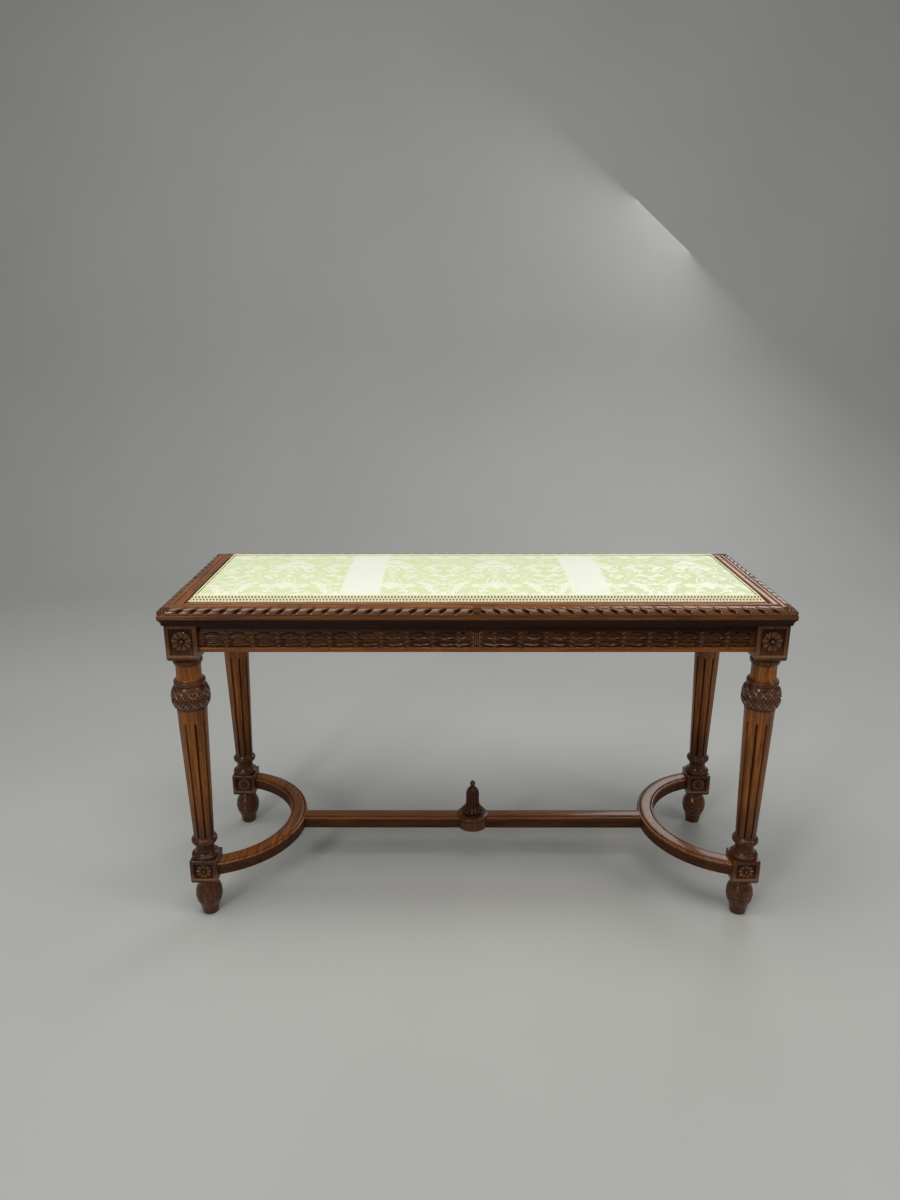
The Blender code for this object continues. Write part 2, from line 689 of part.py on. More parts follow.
def make_seat(rails, board_finish, stuffing_finish, cover_finish, gimp_finish, screw_finish):
    """The seat: a screwed board in the rails' rebate, stuffing, a cover over it and braid along the cover's edge."""
    inset = REBATE_INSET + FIT
    x, y = HALF_WIDTH - inset, HALF_DEPTH - inset
    board = mesh_object("seat_board", *box_shape((-x, -y, BOARD_BOTTOM), (x, y, BOARD_TOP)), board_finish)
    screw_x = HALF_WIDTH - RAIL_WIDTH - SEAT_SCREW_INSET
    screw_y = HALF_DEPTH - REBATE_INSET - RAIL_REBATE / 2
    for row, sy in (("front", -1), ("back", 1)):
        for column, sx in (("left", -1), ("middle", 0), ("right", 1)):
            add_screw(f"seat_screw_{row}_{column}", sx * screw_x, sy * screw_y, BOARD_BOTTOM, 1, SEAT_SCREW_LENGTH,
                      screw_finish, (board, rails[row]))
    foot = BOARD_TOP + FIT
    wall = COVER_THICKNESS
    outer = [rectangle(*ring) for ring in seat_rings(0.0, 0.0)]
    inner = [rectangle(*ring) for ring in seat_rings(wall, wall)]
    skirt = rectangle(RAIL_WIDTH + FIT, foot)
    hem = rectangle(RAIL_WIDTH + FIT + wall, foot)
    mesh_object("seat_cover", *loft([*outer[::-1], skirt, hem, *inner]), cover_finish)
    core = [rectangle(*ring) for ring in seat_rings(wall + 2 * FIT, wall + FIT)]
    base = rectangle(RAIL_WIDTH + 2 * FIT + wall, foot)
    mesh_object("seat_stuffing", *loft([base, *core]), stuffing_finish)
    slope = math.sqrt(0.5)
    (w0, z0), (w1, z1) = seat_rings(0.0, 0.0)[:2]
    low, high = FIT * slope, (FIT + GIMP_THICKNESS) * slope
    section = [
        (w0 - low + 0.001, z0 + low + 0.001),
        (w1 - low - 0.0005, z1 + low - 0.0005),
        (w1 - high - 0.0005, z1 + high - 0.0005),
        (w0 - high + 0.001, z0 + high + 0.001),
    ]
    for side, turn in SIDES.items():
        rings = mitred_side(section, *side_halves(side), FIT / 2)
        mesh_object(f"gimp_{side}", *loft(rings), gimp_finish, turn)


def main():
    clear_scene()
    walnut = material("walnut", (0.16, 0.07, 0.03), 0.35)
    light_walnut = material("walnut_light", (0.27, 0.12, 0.05), 0.35)
    plywood = material("plywood", (0.45, 0.30, 0.17), 0.6)
    damask = material("damask", (0.78, 0.80, 0.62), 0.7)
    braid = material("braid", (0.80, 0.72, 0.48), 0.75)
    stuffing = material("stuffing", (0.85, 0.82, 0.72), 0.9)
    brass = material("brass", (0.72, 0.52, 0.24), 0.35, 1.0)
    steel = material("screw_steel", (0.55, 0.50, 0.42), 0.35, 1.0)
    make_legs(walnut)
    make_aprons(walnut)
    make_bottom_panel(plywood)
    make_arcs(light_walnut)
    make_bars(light_walnut)
    make_hub(walnut)
    make_finial(walnut)
    rails = make_rails(light_walnut, plywood)
    make_hinges(brass, steel, rails["back"])
    make_seat(rails, plywood, stuffing, damask, braid, steel)


main()
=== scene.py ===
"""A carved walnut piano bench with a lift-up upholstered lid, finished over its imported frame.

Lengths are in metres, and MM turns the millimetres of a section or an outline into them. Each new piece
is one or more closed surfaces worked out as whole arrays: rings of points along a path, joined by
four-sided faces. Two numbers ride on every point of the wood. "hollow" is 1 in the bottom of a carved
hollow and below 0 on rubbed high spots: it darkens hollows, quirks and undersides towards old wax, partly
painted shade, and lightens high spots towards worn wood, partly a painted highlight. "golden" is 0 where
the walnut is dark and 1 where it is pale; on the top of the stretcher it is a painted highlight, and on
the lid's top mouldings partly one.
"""

import math

import bpy
import numpy as np
from bpy.props import FloatProperty, FloatVectorProperty, IntProperty, PointerProperty
from bpy.types import Operator, Panel, PropertyGroup
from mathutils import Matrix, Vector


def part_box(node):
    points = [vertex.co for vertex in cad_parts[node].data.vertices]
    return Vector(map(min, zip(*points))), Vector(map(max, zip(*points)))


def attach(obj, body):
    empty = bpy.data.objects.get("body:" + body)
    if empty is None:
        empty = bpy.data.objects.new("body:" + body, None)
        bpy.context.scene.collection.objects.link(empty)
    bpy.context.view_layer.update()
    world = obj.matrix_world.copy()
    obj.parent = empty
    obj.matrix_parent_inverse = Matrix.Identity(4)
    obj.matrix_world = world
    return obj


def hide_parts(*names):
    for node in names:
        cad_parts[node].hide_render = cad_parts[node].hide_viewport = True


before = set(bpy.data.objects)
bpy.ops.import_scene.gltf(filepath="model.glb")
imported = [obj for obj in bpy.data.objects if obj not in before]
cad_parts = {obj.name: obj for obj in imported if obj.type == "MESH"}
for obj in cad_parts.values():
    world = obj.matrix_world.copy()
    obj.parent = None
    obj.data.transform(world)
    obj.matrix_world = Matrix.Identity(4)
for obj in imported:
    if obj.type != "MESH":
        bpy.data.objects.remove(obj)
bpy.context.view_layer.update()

bl_info = {
    "name": "Piano bench",
    "version": (1, 0, 0),
    "blender": (4, 5, 0),
    "location": "3D View > Sidebar > Piano bench",
    "description": "Carved walnut, turned legs, a padded damask lid and its hinges, over the packed frame",
    "category": "Object",
}

MM = 0.001
CORNERS = ("front_left", "front_right", "back_left", "back_right")
SIDES = {"front": 0.0, "right": 90.0, "back": 180.0, "left": 270.0}
UP = np.array([0.0, 0.0, 1.0])


def box_of(node):
    """(lowest corner, highest corner) of a CAD node as arrays."""
    low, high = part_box(node)
    return np.array(low), np.array(high)


def hex_color(text, alpha=1.0):
    """An sRGB hex colour as the linear values that a shader takes."""
    parts = [int(text[k : k + 2], 16) / 255 for k in (1, 3, 5)]
    return (*(v / 12.92 if v <= 0.04045 else ((v + 0.055) / 1.055) ** 2.4 for v in parts), alpha)


# Surfaces ------------------------------------------------------------------------------------------


def through(points, steps=5):
    """A smooth curve through the points: each span is the cubic that leaves a point along the line
    between its two neighbours (Catmull-Rom), read at evenly spaced shares of the span."""
    given = np.asarray(points, float)
    ends = 2 * given[0] - given[1], 2 * given[-1] - given[-2]
    wide = np.concatenate([ends[:1], given, ends[1:]])
    share = np.linspace(0.0, 1.0, steps, endpoint=False)[None, :, None]
    before, start, end, after = (wide[k : len(wide) - 3 + k, None, :] for k in range(4))
    curve = 0.5 * (
        2 * start
        + (end - before) * share
        + (2 * before - 5 * start + 4 * end - after) * share**2
        + (3 * start - before - 3 * end + after) * share**3
    )
    return np.concatenate([curve.reshape(-1, given.shape[1]), given[-1:]])


def outline(*stretches, steps=5):
    """Smooth stretches in millimetres, meeting at crisp corners, as one run of points in metres.
    A stretch of two points is one straight line."""
    runs = [
        through(stretch, steps) if len(stretch) > 2 else np.asarray(stretch, float) for stretch in stretches
    ]
    return np.concatenate(runs) * MM


def shell(rings, hollow=0.0, golden=0.0):
    """A closed surface over rings of points (rows x columns x 3): four-sided faces between rings, and a
    fan to the middle of the first and of the last. It is turned so that its signed volume is positive."""
    rows, columns = rings.shape[:2]
    middles = rings[[0, -1]].mean(axis=1)
    points = np.concatenate([rings.reshape(-1, 3), middles])
    row = np.arange(rows - 1)[:, None] * columns
    here = np.arange(columns)
    after = (here + 1) % columns
    quads = np.stack([row + here, row + after, row + columns + after, row + columns + here],
                     axis=-1).reshape(-1, 4)
    last = (rows - 1) * columns
    fans = np.concatenate([
        np.stack([after, here, np.full(columns, rows * columns)], axis=1),
        np.stack([last + here, last + after, np.full(columns, rows * columns + 1)], axis=1),
    ])
    triangles = points[np.concatenate([quads[:, [0, 1, 2]], quads[:, [0, 2, 3]], fans])]
    if np.einsum("ij,ij->", triangles[:, 0], np.cross(triangles[:, 1], triangles[:, 2])) < 0:
        quads, fans = quads[:, ::-1], fans[:, ::-1]
    marks = {}
    for mark, value in (("hollow", hollow), ("golden", golden)):
        field = np.broadcast_to(value, (rows, columns))
        marks[mark] = np.concatenate([field.reshape(-1), field[[0, -1]].mean(axis=1)])
    return {"points": points, "quads": quads, "fans": fans, **marks}


def piece(name, shells, finish, body, stands_for=(), crisp=38.0):
    """One object from closed surfaces, smooth but for edges sharper than crisp degrees."""
    starts = np.cumsum([0] + [len(part["points"]) for part in shells])
    quads = np.concatenate([part["quads"] + start for part, start in zip(shells, starts)])
    fans = np.concatenate([part["fans"] + start for part, start in zip(shells, starts)])
    points = np.concatenate([part["points"] for part in shells])
    corners = np.concatenate([quads.reshape(-1), fans.reshape(-1)])
    sizes = np.concatenate([np.full(len(quads), 4), np.full(len(fans), 3)])
    mesh = bpy.data.meshes.new(name)
    mesh.vertices.add(len(points))
    mesh.vertices.foreach_set("co", points.astype(np.float32).reshape(-1))
    mesh.loops.add(len(corners))
    mesh.loops.foreach_set("vertex_index", corners.astype(np.int32))
    mesh.polygons.add(len(sizes))
    mesh.polygons.foreach_set("loop_start", (np.cumsum(sizes) - sizes).astype(np.int32))
    mesh.update(calc_edges=True)
    for mark in ("hollow", "golden"):
        values = np.concatenate([part[mark] for part in shells]).astype(np.float32)
        mesh.attributes.new(mark, "FLOAT", "POINT").data.foreach_set("value", values)
    mesh.validate()
    mesh.shade_smooth()
    mesh.set_sharp_from_angle(angle=math.radians(crisp))
    mesh.materials.append(finish)
    made = bpy.data.objects.new(name, mesh)
    bpy.context.scene.collection.objects.link(made)
    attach(made, body)
    if stands_for:
        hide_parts(*stands_for)
    return made


def turned_about(points, degrees):
    """The points turned about the vertical line through the origin."""
    angle = math.radians(degrees)
    turn = np.array([[math.cos(angle), math.sin(angle), 0.0], [-math.sin(angle), math.cos(angle), 0.0],
                     [0.0, 0.0, 1.0]])
    return points @ turn


def turned(profile, centre, angles, cut=0.0):
    """Rings of a turned surface: each (radius, height) of the profile goes round the vertical line at
    centre through the given angles, and cut, rows x angles, is how far carving takes the surface back."""
    radius = profile[:, :1] - cut
    sides = centre[0] + radius * np.cos(angles), centre[1] + radius * np.sin(angles)
    return np.stack([*sides, np.broadcast_to(profile[:, 1:], sides[0].shape)], axis=-1)


def even_angles(count):
    """Angles spaced evenly round a circle."""
    return np.linspace(0.0, 2 * math.pi, count, endpoint=False)


# Carved leaves -------------------------------------------------------------------------------------

LEAF_ACROSS = np.array([-1.0, -0.78, -0.32, 0.0, 0.32, 0.78, 1.0, 0.0])
RIMMED = np.array([0.0, 1.0, 0.45, 0.85, 0.45, 1.0, 0.0, -0.6])
THIN_RIMMED = np.array([0.0, 1.0, 0.12, 0.42, 0.12, 1.0, 0.0, -0.6])
PLUMP = np.array([0.0, 0.62, 0.95, 1.0, 0.95, 0.62, 0.0, -0.6])
RIBBED = np.array([0.0, 0.55, 0.60, 1.0, 0.60, 0.55, 0.0, -0.6])


def leaf(length, width, height, across=RIMMED, widest=0.5, rows=8, blunt=0.75):
    """A carved leaf along +a: rings of (a, b, h). Its half width is a power of the sine of its length's
    share, shifted so that it is widest at that share, and across gives its section from rim to rim."""
    share = np.linspace(0.0, 1.0, rows)
    half = np.sin(math.pi * share ** (math.log(0.5) / math.log(widest))).clip(0.0) ** blunt
    half = half.clip(0.03)[:, None]
    along = np.broadcast_to(share[:, None] * length, (rows, len(across)))
    return np.stack([along, LEAF_ACROSS * half * width / 2, across * height * half**0.5], axis=-1)


def lay(rings, place, start=(0.0, 0.0), degrees=0.0, lift=0.0, golden=0.0, crest_wear_and_highlight=-0.5):
    """The rings turned by degrees, moved to start and put on a surface: place(a, b, h) gives the points.
    The rims are marked hollow, for old wax and painted shade, and the high middle is marked worn, for
    rubbed wood and a painted highlight."""
    angle = math.radians(degrees)
    a = start[0] + rings[..., 0] * math.cos(angle) - rings[..., 1] * math.sin(angle)
    b = start[1] + rings[..., 0] * math.sin(angle) + rings[..., 1] * math.cos(angle)
    height = rings[..., 2]
    top = height.max()
    return shell(place(a, b, height + lift), 0.9 + (crest_wear_and_highlight - 0.9) * (height / top).clip(0.0, 1.0) ** 0.6,
                 golden)


def on_plane(origin, along, out):
    """Places (a, b, h) on an upright plane: a runs along it, b up, and h out of it."""
    origin, along, out = np.asarray(origin), np.asarray(along), np.asarray(out)
    return lambda a, b, h: origin + a[..., None] * along + b[..., None] * UP + h[..., None] * out


def on_turning(profile, centre, reach):
    """Places (a, b, h) on a turned surface: a is measured round a circle of radius reach, b is the height,
    and h stands square off the profile, whose slope is read where the height is."""
    order = np.argsort(profile[:, 1], kind="stable")
    heights, radii = profile[order, 1], profile[order, 0]

    def place(a, b, h):
        """The point at a, b and h, with the profile's slope taken over a small step."""
        step = 0.4 * MM
        radius = np.interp(b, heights, radii)
        slope = (np.interp(b + step, heights, radii) - np.interp(b - step, heights, radii)) / (2 * step)
        scale = 1 / np.sqrt(1 + slope**2)
        out = radius + h * scale
        angle = a / reach
        return np.stack([centre[0] + out * np.cos(angle), centre[1] + out * np.sin(angle),
                         b - h * slope * scale], -1)

    return place


def dome(place, start, radius, height, golden=0.0, columns=10):
    """A round boss: rings of an ellipse's quarter from its rim, sunk a little, to its top."""
    rise = np.linspace(-0.25, 1.0, 6) * math.pi / 2
    rise[-1] -= 0.05
    ring = even_angles(columns)
    a = start[0] + radius * np.cos(rise)[:, None] * np.cos(ring)
    b = start[1] + radius * np.cos(rise)[:, None] * np.sin(ring)
    h = np.broadcast_to(height * np.sin(rise)[:, None], a.shape)
    # Painted shade and wax darken the boss's foot, and a painted highlight lightens its worn top.
    return shell(place(a, b, h), 0.8 - 1.3 * (h / height).clip(0.0, 1.0), golden)


def rosette(place, radius, petals, height, golden=0.0):
    """A flower of two layers of petals round a boss. Each petal widens towards its tip, and the lower layer
    shows between the petals of the upper."""
    start = 0.14 * radius
    petal = leaf(radius - start, 3.0 * radius / petals, height, RIBBED, widest=0.64, rows=8, blunt=0.6)
    made = []
    for k in range(2 * petals):
        turn = 90.0 + 180.0 * k / petals
        angle = math.radians(turn)
        where = start * math.cos(angle), start * math.sin(angle)
        lift = -0.38 * height if k % 2 else 0.0
        # The petals are marked well worn, which also paints a highlight on each petal.
        made.append(lay(petal, place, where, turn, lift, golden, crest_wear_and_highlight=-0.95))
    return [*made, dome(place, (0.0, 0.0), 0.22 * radius, 1.2 * height, golden)]


# Materials -----------------------------------------------------------------------------------------

MIX_A, MIX_B, MIX_RESULT = 6, 7, 2


def node(tree, kind, settings=None, inputs=None):
    """Adds a node, applies its settings, and gives each input a value or links it to a socket."""
    made = tree.nodes.new(kind)
    for name, value in (settings or {}).items():
        setattr(made, name, value)
    for key, value in (inputs or {}).items():
        if isinstance(value, bpy.types.NodeSocket):
            tree.links.new(value, made.inputs[key])
        else:
            made.inputs[key].default_value = value
    return made


def finish(name, **constants):
    """A new material with one Principled shader, and the values that are the same all over it."""
    made = bpy.data.materials.get(name)
    if made is not None:
        bpy.data.materials.remove(made)
    made = bpy.data.materials.new(name)
    made.use_nodes = True
    shader = made.node_tree.nodes["Principled BSDF"]
    for key, value in constants.items():
        shader.inputs[key.replace("_", " ")].default_value = value
    return made, made.node_tree, shader


def stretched(tree, along, across, direction):
    """Object coordinates scaled so that one unit is `along` metres in the grain's direction (x, y or z)
    and `across` metres in the other two."""
    scale = [1 / (along if axis == direction else across) for axis in "xyz"]
    place = node(tree, "ShaderNodeTexCoord").outputs["Object"]
    return node(tree, "ShaderNodeMapping", {}, {"Vector": place, "Scale": scale}).outputs["Vector"]


def waxed_walnut(direction):
    """Old walnut under dark wax: growth figure a few millimetres wide drawn out along the grain, pores as
    short dark dashes, brown-black wax and painted shade in every hollow, and paler, glossier wood where
    hands rub, which is partly a painted highlight on the carving's crests."""
    colors = bpy.context.scene.bench_colors
    made, tree, shader = finish(f"waxed_walnut_{direction}", IOR=1.5, Specular_IOR_Level=0.16,
                                Coat_Roughness=0.12)
    figure = node(tree, "ShaderNodeTexNoise", {}, {
        "Vector": stretched(tree, 95 * MM, 4.2 * MM, direction),
        "Scale": 1.0, "Detail": 6.0, "Roughness": 0.62,
        "Distortion": 0.7,
    })
    # Walnut's pores are about 0.2 mm wide, drawn 0.7 mm wide here so that they show.
    pores = node(tree, "ShaderNodeTexNoise", {}, {
        "Vector": stretched(tree, 9 * MM, 0.7 * MM, direction), "Scale": 1.0, "Detail": 2.0, "Roughness": 0.5,
    })
    blotches = node(tree, "ShaderNodeTexNoise", {}, {
        "Vector": stretched(tree, 70 * MM, 34 * MM, direction), "Scale": 1.0, "Detail": 3.0,
    })
    hollow = node(tree, "ShaderNodeAttribute", {"attribute_name": "hollow"}).outputs["Fac"]
    golden = node(tree, "ShaderNodeAttribute", {"attribute_name": "golden"}).outputs["Fac"]
    spread = node(tree, "ShaderNodeMapRange", {}, {
        "Value": figure.outputs["Fac"], "From Min": 0.34, "From Max": 0.66,
    }).outputs["Result"]
    dark = node(tree, "ShaderNodeMix", {"data_type": "RGBA"}, {
        0: spread, MIX_A: (*colors.walnut_dark, 1), MIX_B: (*colors.walnut_brown, 1),
    }).outputs[MIX_RESULT]
    pale = node(tree, "ShaderNodeMix", {"data_type": "RGBA"}, {
        0: spread, MIX_A: (*colors.walnut_tan, 1), MIX_B: (*colors.walnut_gold, 1),
    }).outputs[MIX_RESULT]
    shift = node(tree, "ShaderNodeMath", {"operation": "MULTIPLY_ADD", "use_clamp": True}, {
        0: blotches.outputs["Fac"], 1: 0.5, 2: node(tree, "ShaderNodeMath", {"operation": "SUBTRACT"}, {
            0: golden, 1: 0.25}).outputs[0],
    }).outputs[0]
    wood = node(tree, "ShaderNodeMix", {"data_type": "RGBA"}, {0: shift, MIX_A: dark, MIX_B: pale})
    dash = node(tree, "ShaderNodeMapRange", {}, {
        "Value": pores.outputs["Fac"], "From Min": 0.30, "From Max": 0.46, "To Min": 0.55, "To Max": 0.0,
    }).outputs["Result"]
    pored = node(tree, "ShaderNodeMix", {"data_type": "RGBA"}, {
        0: dash, MIX_A: wood.outputs[MIX_RESULT], MIX_B: (*colors.wax_and_shade_black, 1),
    })
    # The rubbed share lightens high spots: worn wood, and a painted highlight on the carved crests.
    rubbed = node(tree, "ShaderNodeMapRange", {}, {
        "Value": hollow, "From Min": 0.0, "From Max": -1.0, "To Min": 0.0, "To Max": 0.8,
    }).outputs["Result"]
    lifted = node(tree, "ShaderNodeMix", {"data_type": "RGBA"}, {
        0: rubbed, MIX_A: pored.outputs[MIX_RESULT], MIX_B: (*colors.walnut_worn_and_highlit, 1),
    })
    # The sunk share darkens hollows to the old wax colour: wax left there, and painted shade.
    sunk = node(tree, "ShaderNodeMapRange", {"interpolation_type": "SMOOTHSTEP"}, {
        "Value": hollow, "From Min": 0.05, "From Max": 0.95, "To Min": 0.0, "To Max": 0.94,
    }).outputs["Result"]
    shown = node(tree, "ShaderNodeMix", {"data_type": "RGBA"}, {
        0: sunk, MIX_A: lifted.outputs[MIX_RESULT], MIX_B: (*colors.wax_and_shade_black, 1),
    })
    gloss = node(tree, "ShaderNodeMapRange", {}, {
        "Value": node(tree, "ShaderNodeMath", {"operation": "MULTIPLY_ADD"}, {
            0: figure.outputs["Fac"], 1: 0.5, 2: hollow}).outputs[0],
        "From Min": -0.6, "From Max": 1.3, "To Min": 0.20, "To Max": 0.55,
    }).outputs["Result"]
    # Wax and dust in the hollows are matt, so the polish lies on the raised wood only.
    polish = node(tree, "ShaderNodeMapRange", {}, {
        "Value": hollow, "From Min": -0.6, "From Max": 0.3, "To Min": 1.0, "To Max": 0.0,
    }).outputs["Result"]
    dent = node(tree, "ShaderNodeMath", {"operation": "MULTIPLY_ADD"}, {
        0: dash, 1: -0.6, 2: figure.outputs["Fac"]}).outputs[0]
    bump = node(tree, "ShaderNodeBump", {}, {"Height": dent, "Strength": 0.22, "Distance": 0.4 * MM})
    tree.links.new(shown.outputs[MIX_RESULT], shader.inputs["Base Color"])
    tree.links.new(gloss, shader.inputs["Roughness"])
    tree.links.new(polish, shader.inputs["Coat Weight"])
    tree.links.new(bump.outputs["Normal"], shader.inputs["Normal"])
    return made


def walnut(direction):
    """The walnut finish whose grain runs along x, y or z, made once."""
    return bpy.data.materials.get(f"waxed_walnut_{direction}") or waxed_walnut(direction)


def birch_plywood():
    """Sanded birch plywood, unfinished and a little yellowed: long soft figure along x and a dry surface."""
    made, tree, shader = finish("birch_plywood", IOR=1.5)
    figure = node(tree, "ShaderNodeTexNoise", {}, {
        "Vector": stretched(tree, 160 * MM, 7 * MM, "x"), "Scale": 1.0, "Detail": 5.0, "Distortion": 0.9,
    })
    fibre = node(tree, "ShaderNodeTexNoise", {}, {
        "Vector": stretched(tree, 14 * MM, 0.9 * MM, "x"), "Scale": 1.0, "Detail": 2.0,
    })
    tint = node(tree, "ShaderNodeMapRange", {}, {"Value": figure.outputs["Fac"], "From Min": 0.35,
                                                 "From Max": 0.68})
    board = node(tree, "ShaderNodeMix", {"data_type": "RGBA"}, {
        0: tint.outputs["Result"], MIX_A: hex_color("#b98f5f"), MIX_B: hex_color("#8f6638"),
    })
    dash = node(tree, "ShaderNodeMapRange", {}, {
        "Value": fibre.outputs["Fac"], "From Min": 0.32, "From Max": 0.5, "To Min": 0.35, "To Max": 0.0,
    })
    shown = node(tree, "ShaderNodeMix", {"data_type": "RGBA"}, {
        0: dash.outputs["Result"], MIX_A: board.outputs[MIX_RESULT], MIX_B: hex_color("#5f3f20"),
    })
    rough = node(tree, "ShaderNodeMapRange", {}, {"Value": fibre.outputs["Fac"], "To Min": 0.55,
                                                  "To Max": 0.78})
    bump = node(tree, "ShaderNodeBump", {}, {"Height": fibre.outputs["Fac"], "Strength": 0.2,
                                             "Distance": 0.3 * MM})
    tree.links.new(shown.outputs[MIX_RESULT], shader.inputs["Base Color"])
    tree.links.new(rough.outputs["Result"], shader.inputs["Roughness"])
    tree.links.new(bump.outputs["Normal"], shader.inputs["Normal"])
    return made


def aged_metal(name, bright, dull, roughness, blotch, **constants):
    """Metal handled for years: bright where it is rubbed, with a duller, browner film in blotches of the
    given size, and rougher where the film lies."""
    made, tree, shader = finish(name, Metallic=1.0, **constants)
    film = node(tree, "ShaderNodeTexNoise", {}, {
        "Vector": stretched(tree, blotch, blotch, "z"), "Scale": 1.0, "Detail": 6.0, "Roughness": 0.65,
    })
    spread = node(tree, "ShaderNodeMapRange", {}, {"Value": film.outputs["Fac"], "From Min": 0.38,
                                                   "From Max": 0.64})
    shown = node(tree, "ShaderNodeMix", {"data_type": "RGBA"}, {
        0: spread.outputs["Result"], MIX_A: hex_color(bright), MIX_B: hex_color(dull),
    })
    rough = node(tree, "ShaderNodeMapRange", {}, {
        "Value": film.outputs["Fac"], "From Min": 0.3, "From Max": 0.7,
        "To Min": roughness, "To Max": roughness + 0.25,
    })
    bump = node(tree, "ShaderNodeBump", {}, {"Height": film.outputs["Fac"], "Strength": 0.08,
                                             "Distance": 0.2 * MM})
    tree.links.new(shown.outputs[MIX_RESULT], shader.inputs["Base Color"])
    tree.links.new(rough.outputs["Result"], shader.inputs["Roughness"])
    tree.links.new(bump.outputs["Normal"], shader.inputs["Normal"])
    return made


# Sizes and colours ---------------------------------------------------------------------------------


def length(name, description, default, low=0.0):
    """A length property in metres."""
    return FloatProperty(name=name, description=description, default=default, min=low, subtype="DISTANCE",
                         unit="LENGTH")


def color(name, description, default):
    """A colour property, given as an sRGB hex value and kept linear."""
    return FloatVectorProperty(
        name=name, description=description, default=hex_color(default)[:3], subtype="COLOR",
        size=3, min=0.0, max=1.0
    )


class BenchTurning(PropertyGroup):
    """Sizes of the turned legs."""

    flutes: IntProperty(name="Flutes", description="Flutes round each leg", default=9, min=3, max=16)
    flute_width: length("Flute width", "Width of one flute", 3.3 * MM)
    flute_depth: length("Flute depth", "Depth of one flute", 2.6 * MM)
    ball_leaves: IntProperty(name="Ball leaves", description="Pairs of crossing leaves round each ball",
                             default=15, min=4)
    petals: IntProperty(name="Petals", description="Petals in each layer of a rosette", default=9, min=5,
                        max=16)


class BenchCarving(PropertyGroup):
    """Sizes of the carving on the aprons and the lid's frame."""

    lobe_pitch: length("Lobe pitch", "From one gadroon of the lid's edge to the next", 21.5 * MM)
    lobe_depth: length("Lobe depth", "How deep the cuts between gadroons are", 4.2 * MM)
    lobe_lean: length("Lobe lean", "How far a gadroon's top lies along the rail from its foot", 15 * MM)
    laurel_pitch: length("Laurel pitch", "From one group of laurel leaves to the next", 38.5 * MM)
    laurel_height: length("Laurel height", "How far the laurel leaves stand out", 2.1 * MM)


class BenchSeat(PropertyGroup):
    """Sizes of the seat pad and its braid."""

    cell: length("Cell", "Spacing of the cushion's mesh before it is inflated", 6.5 * MM)
    pressure: FloatProperty(name="Pressure", description="Air pressure that swells the pad", default=4.0,
                            min=0.0)
    swell: length("Swell", "Furthest that a point of the pad moves as it swells", 4.0 * MM)
    slack: length("Slack", "How far below its final crown the pad starts", 2.5 * MM)
    # The real eyes lie about 3 mm apart. They are drawn 5 mm apart so that they show.
    stitch: length("Braid stitch", "From one eye of the braid to the next", 5.0 * MM)


class BenchColors(PropertyGroup):
    """Colours of the walnut and the cloth."""

    walnut_dark: color("Dark walnut", "Dark figure of the darker wood", "#241006")
    walnut_brown: color("Brown walnut", "Light figure of the darker wood", "#47250f")
    walnut_tan: color("Tan walnut", "Dark figure of the paler wood", "#5c2c0a")
    walnut_gold: color("Gold walnut", "Light figure of the paler wood", "#9c5c1a")
    # The worn colour is also a painted highlight, and the old wax colour also painted shade.
    walnut_worn_and_highlit: color("Worn and highlit walnut", "High spots that hands have rubbed, and painted highlights", "#8c5f3a")
    wax_and_shade_black: color("Old wax and painted shade", "Wax and dust left in the hollows, and painted shade", "#190604")
    damask_ground: color("Damask ground", "Green ground of the cloth", "#dbe6b4")
    damask_figure: color("Damask figure", "Cream figure of the cloth", "#f6f8e2")
    damask_stripe: color("Damask stripe", "Pale stripes of the cloth", "#f4f7ea")
    braid_cream: color("Braid", "Cream cord of the braid", "#f3ecc4")
    braid_eye: color("Braid eye", "Eyes between the braid's cords", "#3a3010")


# Stage ---------------------------------------------------------------------------------------------

EYE = (-0.03597, -1.37957, 0.91522)
PITCH, YAW, ROLL = -16.85, 0.15, 0.052
LENS, SENSOR = 26.04, 36.0
WALL_Y, COVE = 2.6, 0.9


def add_light(name, where, target, size, watts, tint):
    """A soft rectangular lamp at where, facing target."""
    lamp = bpy.data.lights.new(name, "AREA")
    lamp.shape = "RECTANGLE"
    lamp.size, lamp.size_y = size
    lamp.energy = watts
    lamp.color = hex_color(tint)[:3]
    holder = bpy.data.objects.new(name, lamp)
    holder.location = where
    holder.visible_camera = False
    forward = np.array(target, float) - np.array(where, float)
    flat = math.hypot(forward[0], forward[1])
    holder.rotation_euler = (math.atan2(flat, -forward[2]), 0.0, math.atan2(-forward[0], forward[1]))
    bpy.context.scene.collection.objects.link(holder)


def painted_plaster(name, tint):
    """Matt painted board: even colour with the faint cloudiness of a rolled coat."""
    made, tree, shader = finish(name, Roughness=0.82)
    cloud = node(tree, "ShaderNodeTexNoise", {}, {
        "Vector": stretched(tree, 0.5, 0.5, "z"), "Scale": 1.0, "Detail": 3.0,
    })
    shade = node(tree, "ShaderNodeHueSaturation", {}, {
        "Value": node(tree, "ShaderNodeMapRange", {}, {
            "Value": cloud.outputs["Fac"], "To Min": 0.94, "To Max": 1.06}).outputs["Result"],
        "Color": hex_color(tint),
    })
    tree.links.new(shade.outputs["Color"], shader.inputs["Base Color"])
    return made


